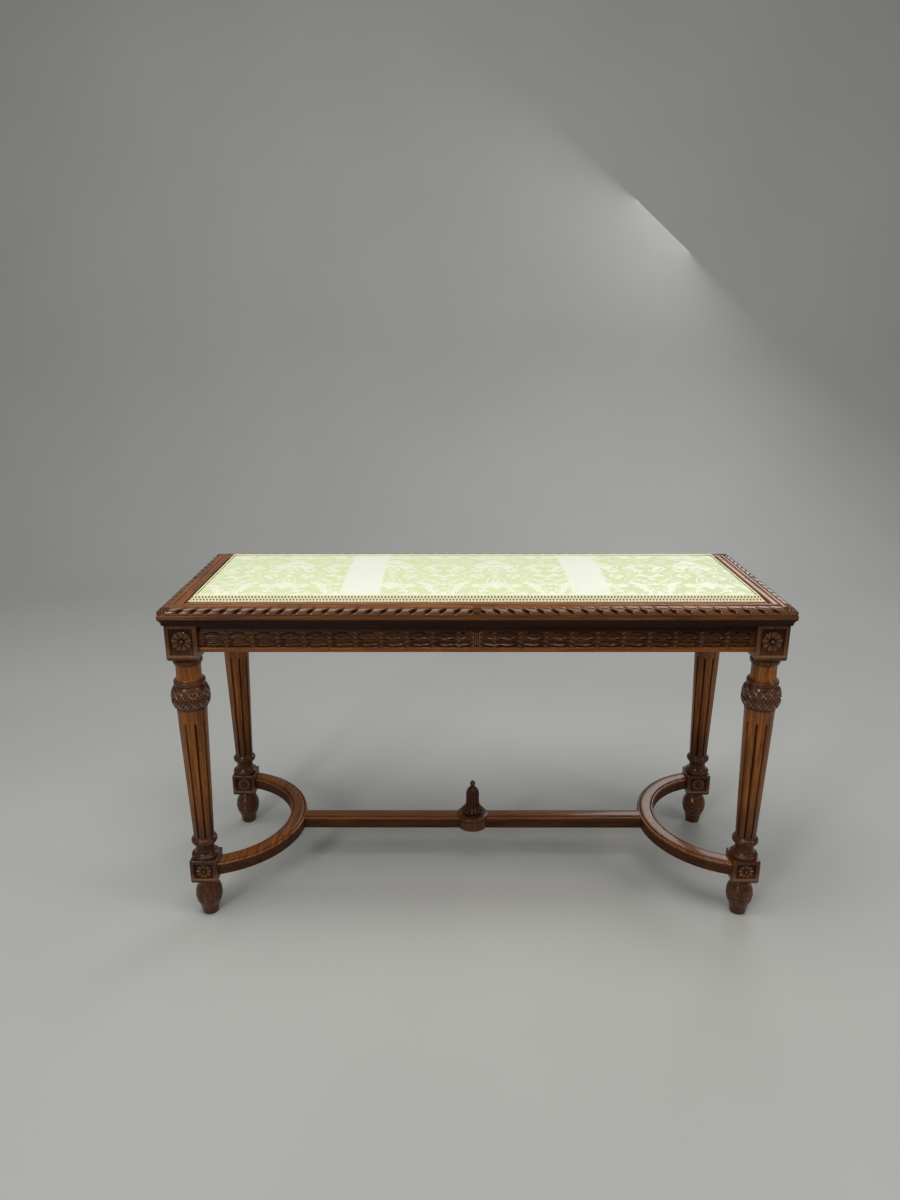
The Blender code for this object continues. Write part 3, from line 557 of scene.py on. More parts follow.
# (name, place, the point that it faces, (width, height), watts, tint) of each lamp, in metres.
LAMPS = (
    ("overhead_softbox", (-0.3, -0.5, 2.7), (0.0, 0.0, 0.4), (2.6, 1.6), 46.0, "#fffdf8"),
    ("front_softbox", (-1.5, -2.6, 1.7), (0.0, 0.0, 0.35), (0.6, 0.6), 24.0, "#fbfcff"),
    ("right_softbox", (2.4, -1.2, 1.6), (0.0, 0.0, 0.35), (0.8, 1.2), 12.0, "#fff8f0"),
    ("back_softbox", (1.2, 2.2, 1.7), (0.0, 0.0, 0.3), (1.2, 1.0), 14.0, "#fbfcff"),
)
FLOOR_REACH, WALL_TOP = 6.0, 5.0
AIR_TINT, AIR_STRENGTH = "#dfe3e6", 0.24


class BENCH_OT_stage(Operator):
    """Pale floor that curves up into a plain backdrop, soft lamps and the camera"""

    bl_idname = "bench.stage"
    bl_label = "Stage"

    def execute(self, context):
        scene = context.scene
        angle = np.linspace(0.0, math.pi / 2, 12)
        curve = np.stack([WALL_Y - COVE + COVE * np.sin(angle), COVE - COVE * np.cos(angle)], axis=1)
        path = np.concatenate([[(-FLOOR_REACH, 0.0)], curve, [(WALL_Y, WALL_TOP)]])
        across = np.array([-FLOOR_REACH, FLOOR_REACH])
        x, y = np.meshgrid(across, path[:, 0])
        z = np.broadcast_to(path[:, 1:], x.shape)
        points = np.stack([x, y, z], axis=-1).reshape(-1, 3)
        row = 2 * np.arange(len(path) - 1)
        faces = np.stack([row, row + 1, row + 3, row + 2], axis=1)
        mesh = bpy.data.meshes.new("studio_floor")
        mesh.from_pydata(points.tolist(), [], faces.tolist())
        mesh.shade_smooth()
        mesh.materials.append(painted_plaster("painted_studio_floor", "#b4b5b2"))
        floor = bpy.data.objects.new("studio_floor", mesh)
        scene.collection.objects.link(floor)
        for lamp in LAMPS:
            add_light(*lamp)
        world = bpy.data.worlds.new("studio_air")
        world.use_nodes = True
        world.node_tree.nodes["Background"].inputs["Color"].default_value = hex_color(AIR_TINT)
        world.node_tree.nodes["Background"].inputs["Strength"].default_value = AIR_STRENGTH
        scene.world = world
        camera = bpy.data.cameras.new("camera")
        camera.lens = LENS
        camera.sensor_width = SENSOR
        camera.sensor_fit = "AUTO"
        eye = bpy.data.objects.new("camera", camera)
        eye.location = EYE
        eye.rotation_euler = (math.radians(90.0 + PITCH), math.radians(ROLL), math.radians(YAW))
        scene.collection.objects.link(eye)
        scene.camera = eye
        scene.view_settings.view_transform = "Standard"
        return {"FINISHED"}


# Legs ----------------------------------------------------------------------------------------------

# (radius, height) of the turning, in millimetres from the floor up. It breaks at the two square blocks.
FOOT = outline(
    ((12.2, 0.0), (12.8, 0.7), (13.6, 6.0), (14.8, 12.0), (15.8, 16.2)),
    ((16.1, 16.6), (17.2, 19.0), (19.0, 23.0), (20.2, 26.6), (20.5, 28.4)),
    ((19.9, 29.0), (19.5, 29.9), (20.2, 30.8)),
    ((21.0, 31.2), (21.6, 33.6), (21.5, 36.4)),
    ((20.9, 36.9), (20.6, 37.6), (21.0, 38.3)),
    ((21.3, 38.9), (21.0, 43.0), (19.8, 47.6), (17.9, 51.6), (16.8, 54.0)),
    ((16.2, 54.8), (15.9, 57.0), (16.0, 59.6)),
    ((17.1, 60.2), (17.5, 61.5), (16.9, 62.8)),
    ((15.6, 63.4), (15.2, 70.0)),
)
FLUTE_LOW, FLUTE_HIGH = 144.5 * MM, 347.5 * MM
ANKLE = outline(
    ((15.0, 102.0), (19.0, 106.7)),
    ((20.0, 106.9), (21.6, 107.9), (22.2, 109.9), (21.6, 112.0), (20.2, 113.2)),
    ((18.2, 113.6), (17.0, 114.8), (15.6, 118.0), (14.8, 122.0), (14.9, 126.5), (16.2, 129.8)),
    ((17.6, 130.4), (18.2, 131.6)),
    ((18.8, 131.8), (20.2, 133.6), (20.6, 136.4), (19.9, 139.2), (18.0, 141.4)),
    ((17.0, 141.8), (16.2, 143.4), (16.0, 145.2)),
)
SHAFT_ROWS = np.concatenate([
    np.array([146.0, 150.0, 160.0]), np.linspace(180.0, 330.0, 10),
    np.array([338.0, 343.0]), np.linspace(345.0, 348.4, 7),
]) * MM
CROWN = outline(
    ((22.4, 350.0), (22.6, 357.0), (22.9, 364.0), (23.4, 369.6)),
    ((23.0, 370.4), (24.4, 372.4), (26.8, 377.0), (28.1, 383.0), (28.4, 389.0), (27.5, 396.0), (25.7, 401.8),
     (23.7, 406.6)),
    ((22.7, 407.4), (23.7, 408.2), (24.1, 411.0), (23.9, 413.8), (22.8, 415.6)),
    ((20.6, 416.1), (19.5, 418.6), (19.0, 427.0), (19.0, 436.0), (19.5, 440.6)),
    ((20.2, 441.2), (21.7, 443.2), (22.3, 446.2), (21.9, 449.2)),
    ((20.4, 449.8), (18.8, 452.0), (18.6, 458.0)),
)
BALL = CROWN[(CROWN[:, 1] > 370.0 * MM) & (CROWN[:, 1] < 407.0 * MM)]
UPPER_HALF, LOWER_HALF = 24.0 * MM, 21.5 * MM
UPPER_BLOCK = (451.0 * MM, 508.0 * MM)
LOWER_BLOCK = (64.5 * MM, 106.5 * MM)
CORNER_ROUND = 0.8 * MM
FLUTE_STATIONS = np.array([0.0, 0.04, 0.075, 0.10, 0.118, 0.13, 0.15, 0.22, 0.34])
NORMALS = np.array([(0.0, -1.0), (1.0, 0.0), (0.0, 1.0), (-1.0, 0.0)])
TANGENTS = np.array([(1.0, 0.0), (0.0, 1.0), (-1.0, 0.0), (0.0, -1.0)])


def smooth_step(value, low, high):
    """0 below low, 1 above high, and an S-shaped rise between."""
    share = ((value - low) / (high - low)).clip(0.0, 1.0)
    return share * share * (3 - 2 * share)


def shaft_tone(height):
    """How golden the turning is by height: the column and neck are pale, the ball and the ankle dark."""
    column = smooth_step(height, 150 * MM, 235 * MM) * (1 - smooth_step(height, 366 * MM, 370 * MM))
    neck = smooth_step(height, 416 * MM, 418 * MM) * (1 - smooth_step(height, 439 * MM, 442 * MM))
    return 0.10 + 0.14 * smooth_step(height, 140 * MM, 150 * MM) + 0.60 * column + 0.85 * neck


def crease(profile):
    """How far each point of a turned profile lies below the lower of its two flanks, 1 in a tight quirk."""
    radius = profile[:, 0]
    reach = 4
    padded = np.pad(radius, reach, mode="edge")
    before = np.stack([padded[k : k + len(radius)] for k in range(reach)]).max(axis=0)
    after = np.stack([padded[k + reach + 1 : k + reach + 1 + len(radius)] for k in range(reach)]).max(axis=0)
    return ((np.minimum(before, after) - radius) / (0.9 * MM)).clip(0.0, 1.0)


def flute_cut(angles, profile, sizes, first):
    """Depth of the flutes at each height and angle: each is the round bottom of a channel, whose upper
    end is a half circle and whose lower end runs out over the ring below."""
    spacing = 2 * math.pi / sizes.flutes
    share = ((angles - first) / spacing + 0.5) % 1.0 - 0.5
    half = sizes.flute_width / 2
    across = share * spacing * profile[:, :1] / half
    height = profile[:, 1:]
    above = ((height - (FLUTE_HIGH - half)) / half).clip(0.0)
    below = ((FLUTE_LOW + half - height) / half).clip(0.0)
    return sizes.flute_depth * np.sqrt((1 - across**2 - above**2 - below**2).clip(0.0))


def flute_angles(sizes, first):
    """Angles round the leg, crowded at the edges of each flute."""
    one = np.concatenate([-FLUTE_STATIONS[:0:-1], FLUTE_STATIONS, [0.46]])
    spacing = 2 * math.pi / sizes.flutes
    return (first + (np.arange(sizes.flutes)[:, None] + one) * spacing).reshape(-1)


def square_block(centre, half, low, high, panel, panelled, base_round, top_round, golden):
    """Rings of a square block: four faces with a rounded corner between, sides drawn in where the lower
    and upper edges are rounded, and a sunk panel (half width, margin, depth) on the panelled faces."""
    panel_half, margin, depth = panel
    lip = 0.8 * MM
    inner = np.array([panel_half - lip, panel_half - lip / 2, panel_half])
    stations = np.concatenate([[half - CORNER_ROUND], inner[::-1] + lip / 4, [panel_half * 0.5, 0.0]])
    across = np.concatenate([-stations, stations[-2::-1]])
    base = low + base_round * (1 - np.cos(np.linspace(0.0, math.pi / 2, 6)))
    top = high - top_round * (1 - np.cos(np.linspace(math.pi / 2, 0.0, 5)))
    edges = np.array([0.0, lip / 2, lip])
    heights = np.concatenate([base, low + margin[0] + edges, [(low + high) / 2],
                              high - margin[1] - edges[::-1], top])
    into_base = ((low + base_round - heights) / base_round).clip(0.0, 1.0)
    into_top = ((heights - high + top_round) / top_round).clip(0.0, 1.0)
    shrink = base_round * (1 - np.sqrt(1 - into_base**2)) + top_round * (1 - np.sqrt(1 - into_top**2))
    rise = np.minimum(heights - low - margin[0], high - margin[1] - heights)[:, None]
    sunk = smooth_step(np.minimum(rise, panel_half - np.abs(across)), 0.0, lip)
    rings, marks = [], []
    for side in range(4):
        cut = depth * sunk if side in panelled else 0 * sunk
        out = half - shrink[:, None] - cut
        slide = across * (1 - shrink[:, None] / half)
        face = out[..., None] * NORMALS[side] + slide[..., None] * TANGENTS[side]
        corner = (half - shrink - CORNER_ROUND * (1 - math.sqrt(0.5)))[:, None, None]
        rings += [face, corner * (NORMALS[side] + TANGENTS[side])]
        # The sunk panel is darkened with painted shade and wax; its lower lip gets a painted highlight.
        lip_highlight = np.exp(-(((heights - low - margin[0]) / (0.9 * MM)) ** 2))[:, None] * (side in panelled)
        marks += [0.8 * cut / depth * (1 - lip_highlight) - 1.0 * lip_highlight, np.full((len(heights), 1), -0.35)]
    flat = np.concatenate(rings, axis=1) + np.asarray(centre)
    up = np.broadcast_to(heights[:, None, None], (*flat.shape[:2], 1))
    return shell(np.concatenate([flat, up], axis=-1), np.concatenate(marks, axis=1), golden)


def ball_leaves(centre, count, first):
    """Small laurel leaves all over the ball, in two rows. Two sets of narrow blades cross at a steep slant,
    one over the other, and short leaves and berries fill the diamonds between them."""
    reach = BALL[:, 0].max()
    place = on_turning(BALL, centre, reach)
    low, high = BALL[0, 1], BALL[-1, 1]
    tall = high - low
    spacing = 2 * math.pi * reach / count
    blade = leaf(0.62 * tall, 4.4 * MM, 1.15 * MM, RIBBED, widest=0.45, rows=9)
    short = leaf(0.27 * tall, 4.2 * MM, 1.25 * MM, RIBBED, widest=0.5, rows=6)
    run = 0.31 * tall * math.cos(math.radians(48.0))
    made = []
    for k in range(count):
        middle = first * reach + k * spacing
        for row in (0.03, 0.50):
            shift = 0.0 if row < 0.2 else spacing / 2
            foot = low + row * tall
            made.append(lay(blade, place, (middle + shift - run, foot), 48, 0.1 * MM, crest_wear_and_highlight=-0.7))
            made.append(lay(blade, place, (middle + shift + run, foot), 132, 0.5 * MM, crest_wear_and_highlight=-0.9))
            gap = middle + shift + spacing / 2
            made.append(lay(short, place, (gap, foot + 0.10 * tall), 90, 0.2 * MM, crest_wear_and_highlight=-0.7))
            made.append(dome(place, (gap, foot + 0.02 * tall), 1.2 * MM, 1.7 * MM, columns=7))
    return made


# (half width, (margin below, margin above), depth) of the sunk panels, and (height of its middle, depth
# of its back under the block's face, radius, thickness) of each rosette.
UPPER_PANEL = (17.6 * MM, (9.0 * MM, 5.0 * MM), 3.6 * MM)
LOWER_PANEL = (15.4 * MM, (8.5 * MM, 6.0 * MM), 3.2 * MM)
UPPER_ROSETTE = (482.0 * MM, 3.8 * MM, 16.8 * MM, 4.0 * MM)
LOWER_ROSETTE = (86.5 * MM, 3.4 * MM, 13.4 * MM, 3.2 * MM)
# Angle of the first flute, on a left leg and on a right one.
FIRST_FLUTE = {True: math.radians(-66.0), False: math.radians(-114.0)}


class BENCH_OT_legs(Operator):
    """Four turned and fluted legs with carved balls, sunk panels and rosettes"""

    bl_idname = "bench.legs"
    bl_label = "Legs"

    def execute(self, context):
        sizes = context.scene.bench_turning
        for corner in CORNERS:
            low, high = box_of(f"leg_{corner}")
            centre = (low[:2] + high[:2]) / 2
            left, front = centre[0] < 0, centre[1] < 0
            first = FIRST_FLUTE[bool(left)]
            angles = flute_angles(sizes, first)
            ends = (ANKLE[-1, 1], CROWN[0, 1]), (ANKLE[-1, 0], CROWN[0, 0])
            shaft = np.stack([np.interp(SHAFT_ROWS, *ends), SHAFT_ROWS], axis=1)
            column = np.concatenate([ANKLE, shaft, CROWN])
            cut = flute_cut(angles, column, sizes, first)
            # Quirks and flute bottoms are darkened with painted shade and wax.
            marks = crease(column)[:, None] + 0.72 * (cut / sizes.flute_depth) ** 0.7
            parts = [shell(turned(column, centre, angles, cut), marks, shaft_tone(column[:, 1:]))]
            round_foot = even_angles(64)
            # The foot's quirks are darkened with painted shade and wax.
            parts.append(shell(turned(FOOT, centre, round_foot), crease(FOOT)[:, None] * 0.9, 0.22))
            outward = (0 if front else 2, 3 if left else 1)
            carved = (0, 2, 3 if left else 1)
            parts.append(square_block(centre, UPPER_HALF, *UPPER_BLOCK, UPPER_PANEL, outward, 5 * MM,
                                      0.5 * MM, 0.22))
            parts.append(square_block(centre, LOWER_HALF, *LOWER_BLOCK, LOWER_PANEL, carved, 5 * MM,
                                      1.6 * MM, 0.08))
            parts += ball_leaves(centre, sizes.ball_leaves, first)
            for side in carved:
                parts += self.flower(centre, side, LOWER_HALF, LOWER_ROSETTE, sizes.petals)
                if side in outward:
                    parts += self.flower(centre, side, UPPER_HALF, UPPER_ROSETTE, sizes.petals)
            piece(f"carved_leg_{corner}", parts, walnut("z"), "frame", (f"leg_{corner}",))
        return {"FINISHED"}

    def flower(self, centre, side, half, at, petals):
        """The rosette in the panel on one side of a block whose half width is half."""
        height, sunk, radius, thickness = at
        out, along = np.append(NORMALS[side], 0.0), np.append(TANGENTS[side], 0.0)
        origin = np.append(centre, height) + out * (half - sunk)
        return rosette(on_plane(origin, along, out), radius, petals, thickness)


# Aprons --------------------------------------------------------------------------------------------

# (distance behind the outermost face, height above the apron's lower edge), in millimetres.
APRON_FACE = outline(
    ((1.6, 0.0), (0.4, 0.8), (0.0, 3.6), (0.5, 6.6), (1.8, 7.8)),
    ((2.8, 8.1), (2.8, 8.9)),
    ((2.4, 9.2), (1.7, 12.0), (1.4, 20.5), (1.7, 29.0), (2.4, 31.8)),
    ((2.8, 32.2), (3.4, 34.0), (4.2, 36.6), (4.4, 38.8)),
    ((1.6, 39.4), (1.1, 40.2), (1.6, 41.2)),
    ((3.4, 41.6), (3.4, 44.0)),
    steps=3,
)
APRON_INSIDE, APRON_LEAF = 20.0 * MM, 13.5 * MM
PANEL_RISE, PANEL_GROOVE = (3.7 * MM, 8.3 * MM), 6.0 * MM
TIE_HALF = 6.5 * MM


def hinge_stations(stations):
    """The stations with a close pair more at either end of each hinge's pocket."""
    ends = [sign * (HINGE_MIDDLE + end * HINGE_HALF) for sign in (-1, 1) for end in (-1, 1)]
    return np.sort(np.concatenate([stations, *(np.array([end - 0.05 * MM,
                                                         end + 0.05 * MM]) for end in ends)]))


def in_hinge(stations):
    """Whether each station lies within a hinge's pocket."""
    return np.abs(np.abs(stations) - HINGE_MIDDLE) < HINGE_HALF


def garland(half_length, middle, place, sizes):
    """A laurel garland that runs both ways from a ribbed tie: two rows of long leaves with thin rims round a
    dark hollow, small leaves and a column of berries at each joint, and a last leaf that ends in a point."""
    pitch, height = sizes.laurel_pitch, sizes.laurel_height
    long_leaf = leaf(0.86 * pitch, 10.6 * MM, height, THIN_RIMMED, widest=0.5, rows=11, blunt=0.85)
    slim_leaf = leaf(0.62 * pitch, 5.4 * MM, 0.9 * height, THIN_RIMMED, widest=0.5, rows=9, blunt=0.85)
    sprig = leaf(11.5 * MM, 4.4 * MM, 0.9 * height, RIBBED, widest=0.45, rows=7)
    count = int((half_length - TIE_HALF - 4 * MM) / pitch)
    start = half_length - 4 * MM - count * pitch
    made = []
    for sign in (-1, 1):
        facing = 0 if sign > 0 else 180
        for k in range(-1, count):
            joint = max(start + k * pitch, TIE_HALF - 1 * MM)
            for row, lift, late in ((-5.0, 0.2, 0.04), (4.6, 0.0, 0.10)):
                where = sign * (joint + late * pitch), middle + row * MM
                made.append(lay(long_leaf, place, where, facing, lift * MM, 0.12, -0.55))
            for row, turn in ((10.2, -7), (-10.2, 7), (0.0, 0)):
                where = sign * (joint + 0.30 * pitch), middle + row * MM
                made.append(lay(slim_leaf, place, where, facing + sign * turn, 0.4 * MM, 0.12, -0.5))
            for row, turn in ((7.0, 38), (0.4, 32), (-0.4, -32), (-8.0, -36)):
                where = sign * (joint - 0.10 * pitch), middle + row * MM
                made.append(lay(sprig, place, where, facing + sign * turn, 0.6 * MM, 0.1, -0.7))
            for row in (5.6, 2.4, -9.6):
                made.append(dome(place, (sign * joint, middle + row * MM), 1.6 * MM, height + 1.1 * MM, 0.1,
                                 columns=8))
    rib = leaf(25 * MM, 3.2 * MM, height + 1.2 * MM, PLUMP, widest=0.5, rows=7, blunt=0.3)
    for k in (-1.5, -0.5, 0.5, 1.5):
        made.append(lay(rib, place, (k * 3.0 * MM, middle - 12.5 * MM), 90, 0.2 * MM, 0.15, -0.6))
    return made


class BENCH_OT_aprons(Operator):
    """Four aprons with a beaded lower edge, a carved laurel garland and a ridge under the lid"""

    bl_idname = "bench.aprons"
    bl_label = "Aprons"

    def execute(self, context):
        sizes = context.scene.bench_carving
        for name, turn in SIDES.items():
            low, high = box_of(f"apron_{name}")
            along = 0 if name in ("front", "back") else 1
            face = max(abs(low[1 - along]), abs(high[1 - along]))
            leg_low, leg_high = box_of("leg_front_right")
            half_length = abs((leg_low + leg_high)[along]) / 2 - UPPER_HALF + 1.5 * MM
            inside = np.array([
                (APRON_LEAF - 0.05 * MM, 44.0 * MM), (APRON_LEAF + 0.05 * MM, 44.0 * MM),
                (APRON_INSIDE, 44.0 * MM), (APRON_INSIDE, PANEL_RISE[1]), (APRON_INSIDE - PANEL_GROOVE,
                                                                           PANEL_RISE[1]),
                (APRON_INSIDE - PANEL_GROOVE, PANEL_RISE[0]), (APRON_INSIDE, PANEL_RISE[0]),
                (APRON_INSIDE, 0.0),
            ])
            section = np.concatenate([APRON_FACE, inside])
            stations = np.linspace(-half_length, half_length, 60)
            if name == "back":
                stations = hinge_stations(stations)
            depth, height = section.T
            x = np.broadcast_to(stations[:, None], (len(stations), len(depth)))
            rings = np.stack([x, np.broadcast_to(depth - face, x.shape),
                              np.broadcast_to(low[2] + height, x.shape)], -1)
            if name == "back":
                let_in = in_hinge(stations)[:, None] & (depth < APRON_LEAF)
                rings[..., 2] = np.where(let_in, np.minimum(rings[..., 2], high[2] - LEAF_DEEP),
                                         rings[..., 2])
            back = section[:, 0] > 10 * MM
            # The face darkens with painted shade the further it lies behind its front, the inner face
            # slightly.
            marks = np.where(back, 0.25, (depth / (4.4 * MM)).clip(0.0, 1.0) ** 1.6 * 0.95)
            bead = (height < 7.8 * MM) & ~back
            core = shell(turned_about(rings, -turn), marks, np.where(bead, 0.85, np.where(back, 0.4, 0.2)))
            out, right = np.array([0.0, -1.0, 0.0]), np.array([1.0, 0.0, 0.0])
            flat = on_plane((0.0, 1.9 * MM - face, low[2]), right, out)
            leaves = garland(half_length - 1.5 * MM, 20.5 * MM, lambda a, b,
                             h: turned_about(flat(a, b, h), -turn), sizes)
            grain = "xy"[along]
            piece(f"carved_apron_{name}", [core, *leaves], walnut(grain), "frame", (f"apron_{name}",))
        return {"FINISHED"}


# Stretcher -----------------------------------------------------------------------------------------

# (distance from the middle line, height above the lower face), in millimetres, on one side.
STRETCHER_HALF = outline(
    ((13.2, 0.0), (14.3, 1.2), (14.5, 3.0)),
    ((14.5, 3.0), (14.5, 14.8)),
    ((13.7, 15.4), (13.5, 16.0), (13.8, 16.6)),
    ((14.3, 17.0), (14.0, 18.8), (12.6, 20.0), (11.0, 20.2)),
    ((10.5, 19.5), (9.9, 19.3), (9.3, 19.7)),
    ((8.9, 21.0), (7.6, 21.6), (4.0, 21.9), (0.0, 22.0)),
    steps=4,
)


def stretcher_section():
    """The stretcher's whole section: one side going up and the other coming down, and each point's marks."""
    right = STRETCHER_HALF
    left = right[-2::-1] * (-1, 1)
    section = np.concatenate([right, left])
    wide, height = np.abs(section[:, 0]), section[:, 1]
    # The quirks are darkened with painted shade and wax.
    quirk = (smooth_step(wide, 9.0 * MM, 9.6 * MM) * (1 - smooth_step(wide, 10.2 * MM, 11.0 * MM))
             * (height > 18 * MM))
    lower_quirk = (np.abs(height - 16.0 * MM) < 0.5 * MM) * 0.8
    hollow = np.maximum(quirk, lower_quirk)
    # Painted shade on the sides below the top moulding.
    hollow = np.maximum(hollow, 0.42 * (1 - smooth_step(height, 14.5 * MM, 16.5 * MM)))
    # The top moulding is painted paler: a painted highlight where the light falls on it.
    golden = 0.2 + 0.65 * smooth_step(height, 16.5 * MM, 18.5 * MM)
    return section, hollow, golden


# Where each bar starts inside the hub, from the hub's middle.
BAR_START = 20.0 * MM


class BENCH_OT_stretcher(Operator):
    """Two moulded arcs, the two bars between them and the turned hub that carries the finial"""

    bl_idname = "bench.stretcher"
    bl_label = "Stretcher"

    def execute(self, context):
        section, hollow, golden = stretcher_section()
        low, high = box_of("stretcher_arc_right")
        leg_low, leg_high = box_of("leg_front_right")
        bottom = low[2]
        inner_block = (leg_low + leg_high)[0] / 2 - LOWER_HALF
        width = 2 * STRETCHER_HALF[:, 0].max()
        arc_centre, radius = self.arc(low, high, leg_low, leg_high, width)
        reach = math.acos((arc_centre - inner_block - 4 * MM) / radius)
        bend = np.linspace(-reach, reach, 96)
        for name, sign in (("left", -1), ("right", 1)):
            out = radius + section[:, 0]
            x = sign * (arc_centre - out * np.cos(bend)[:, None])
            y = out * np.sin(bend)[:, None]
            rings = np.stack([x, y, np.broadcast_to(bottom + section[:, 1], x.shape)], axis=-1)
            part = shell(rings, hollow, golden)
            piece(f"moulded_arc_{name}", [part], walnut("y"), "frame", (f"stretcher_arc_{name}",))
            ends = sign * (arc_centre - radius - width / 2 + 1.0 * MM), sign * BAR_START
            stations = np.linspace(*ends, 30)
            x, y = np.meshgrid(stations, section[:, 0], indexing="ij")
            rings = np.stack([x, y, np.broadcast_to(bottom + section[:, 1], x.shape)], axis=-1)
            part = shell(rings, hollow, golden * 0.85)
            piece(f"moulded_bar_{name}", [part], walnut("x"), "frame", (f"stretcher_bar_{name}",))
        low, high = box_of("stretcher_hub")
        rim = (high[0] - low[0]) / 2 / MM
        tall = (high[2] - low[2]) / MM
        profile = outline(
            ((rim - 2.5, 0.0), (rim - 0.6, 0.6), (rim, 2.4)),
            ((rim, 2.4), (rim, tall - 8.4)),
            ((rim - 1.3, tall - 7.6), (rim - 1.5, tall - 6.8), (rim - 1.1, tall - 6.0)),
            ((rim - 0.3, tall - 5.4), (rim, tall - 3.6), (rim - 0.9, tall - 1.6), (rim - 2.8, tall - 0.8)),
            ((rim - 4.4, tall - 0.8), (rim - 5.2, tall - 0.2), (rim - 9.0, tall)),
        )
        profile[:, 1] += low[2]
        # The hub's quirks are darkened with painted shade and wax.
        part = shell(turned(profile, (0.0, 0.0), even_angles(72)), crease(profile)[:, None], 0.25)
        piece("turned_hub", [part], walnut("z"), "frame", ("stretcher_hub",))
        return {"FINISHED"}

    def arc(self, low, high, leg_low, leg_high, width):
        """(x of the right arc's centre, radius of its middle line), from the arc's and the legs' boxes."""
        crown = low[0] + width / 2
        end_x = (leg_low + leg_high)[0] / 2 - LOWER_HALF
        end_y = high[1] - 0.45 * width
        half_chord, rise = end_y, end_x - crown
        radius = (half_chord**2 + rise**2) / (2 * rise)
        return crown + radius, radius


# Finial --------------------------------------------------------------------------------------------

FINIAL_CORE = outline(
    ((11.5, 0.0), (13.2, 1.4), (12.4, 3.0)),
    ((10.6, 3.4), (10.2, 4.0), (11.4, 4.4)),
    ((17.2, 4.4), (19.3, 5.0), (19.8, 6.0), (17.4, 8.6), (14.2, 12.0), (12.4, 16.6), (11.7, 22.0),
     (11.5, 30.0),
     (11.4, 38.0), (9.6, 44.6), (6.0, 49.2), (3.4, 51.4)),
    ((2.7, 51.9), (2.8, 52.6)),
    ((3.8, 53.4), (4.6, 56.0), (4.0, 59.2), (2.1, 61.6), (0.4, 62.3)),
)
FINIAL_LOBES = 13


class BENCH_OT_finial(Operator):
    """The finial at the crossing: a bell of upright lobes that flare into a scalloped skirt, and a ball"""

    bl_idname = "bench.finial"
    bl_label = "Finial"

    def execute(self, context):
        high = box_of("finial")[1]
        profile = FINIAL_CORE.copy()
        base = high[2] - profile[-1, 1]
        profile[:, 1] += base
        angles = even_angles(FINIAL_LOBES * 12)
        share = np.abs((angles * FINIAL_LOBES / (2 * math.pi)) % 1.0 * 2 - 1)
        height = profile[:, 1:] - base
        lobed = smooth_step(height, 4.3 * MM, 5.0 * MM) * (1 - smooth_step(height, 45 * MM, 51 * MM))
        flare = 1 - smooth_step(height, 6 * MM, 15 * MM)
        groove = share**4
        cut = (1.7 + 2.2 * flare) * MM * lobed * groove
        # Lobe rims are marked worn, with a painted highlight most on the flare; grooves get wax and painted
        # shade.
        rim = np.exp(-(((share - 0.62) / 0.16) ** 2)) * lobed
        marks = 1.15 * lobed * groove - (0.25 + 0.75 * flare) * rim + 0.25 * (1 - share) * lobed
        # The band under the skirt is darkened with painted shade.
        under = 0.9 * (1 - smooth_step(height, 4.2 * MM, 4.8 * MM)) * smooth_step(height, 2.4 * MM, 3.2 * MM)
        part = shell(turned(profile, (0.0, 0.0), angles, cut), np.maximum(marks, under), 0.05)
        piece("carved_finial", [part], walnut("z"), "frame", ("finial",))
        return {"FINISHED"}


# Lid frame -----------------------------------------------------------------------------------------

# (inset from the lid's edge, height above the lid's lower face), in millimetres.
RAIL_OUTSIDE = outline(
    ((4.6, 0.0), (4.4, 2.4), (3.6, 5.4), (1.9, 7.9), (0.7, 9.4), (0.0, 10.7)),
    ((0.0, 10.7), (0.0, 16.0)),
    ((0.3, 16.4), (1.4, 16.7), (1.6, 17.2)),
    steps=4,
)
RAIL_LOBES = through(((0.6, 17.4), (0.1, 19.6), (1.1, 22.8), (3.8, 25.8), (7.6, 27.5), (11.0, 27.7),
                      (12.8, 26.8)), 4) * MM
RAIL_TOP = outline(
    ((13.6, 25.9), (14.2, 26.4), (15.5, 26.7), (17.0, 26.4)),
    ((17.6, 25.1), (18.6, 24.2), (19.7, 25.0)),
    ((20.2, 26.3), (22.4, 27.3), (25.2, 27.7), (28.2, 27.2), (30.2, 26.0)),
    ((30.8, 24.5), (32.2, 23.3), (33.8, 23.9)),
    ((34.3, 25.4), (35.4, 26.1), (37.2, 26.0), (38.0, 25.3)),
    steps=4,
)
TOP_MOULD, QUIRK_TOP = 13.5 * MM, 25.2 * MM
MITRE_RUN = 55.0 * MM
# The hinges' places along the back rail, and their pockets' reach and depth.
HINGE_MIDDLE, HINGE_HALF = 300.0 * MM, 25.3 * MM
LEAF_INSET, LEAF_DEEP = 26.5 * MM, 1.85 * MM
BARREL_INSET, BARREL_DEEP = 10.3 * MM, 3.35 * MM
LOW_ENOUGH = 4.0 * MM
CORNER_LEAF = 15.0 * MM
LID_TIE = 7.0 * MM


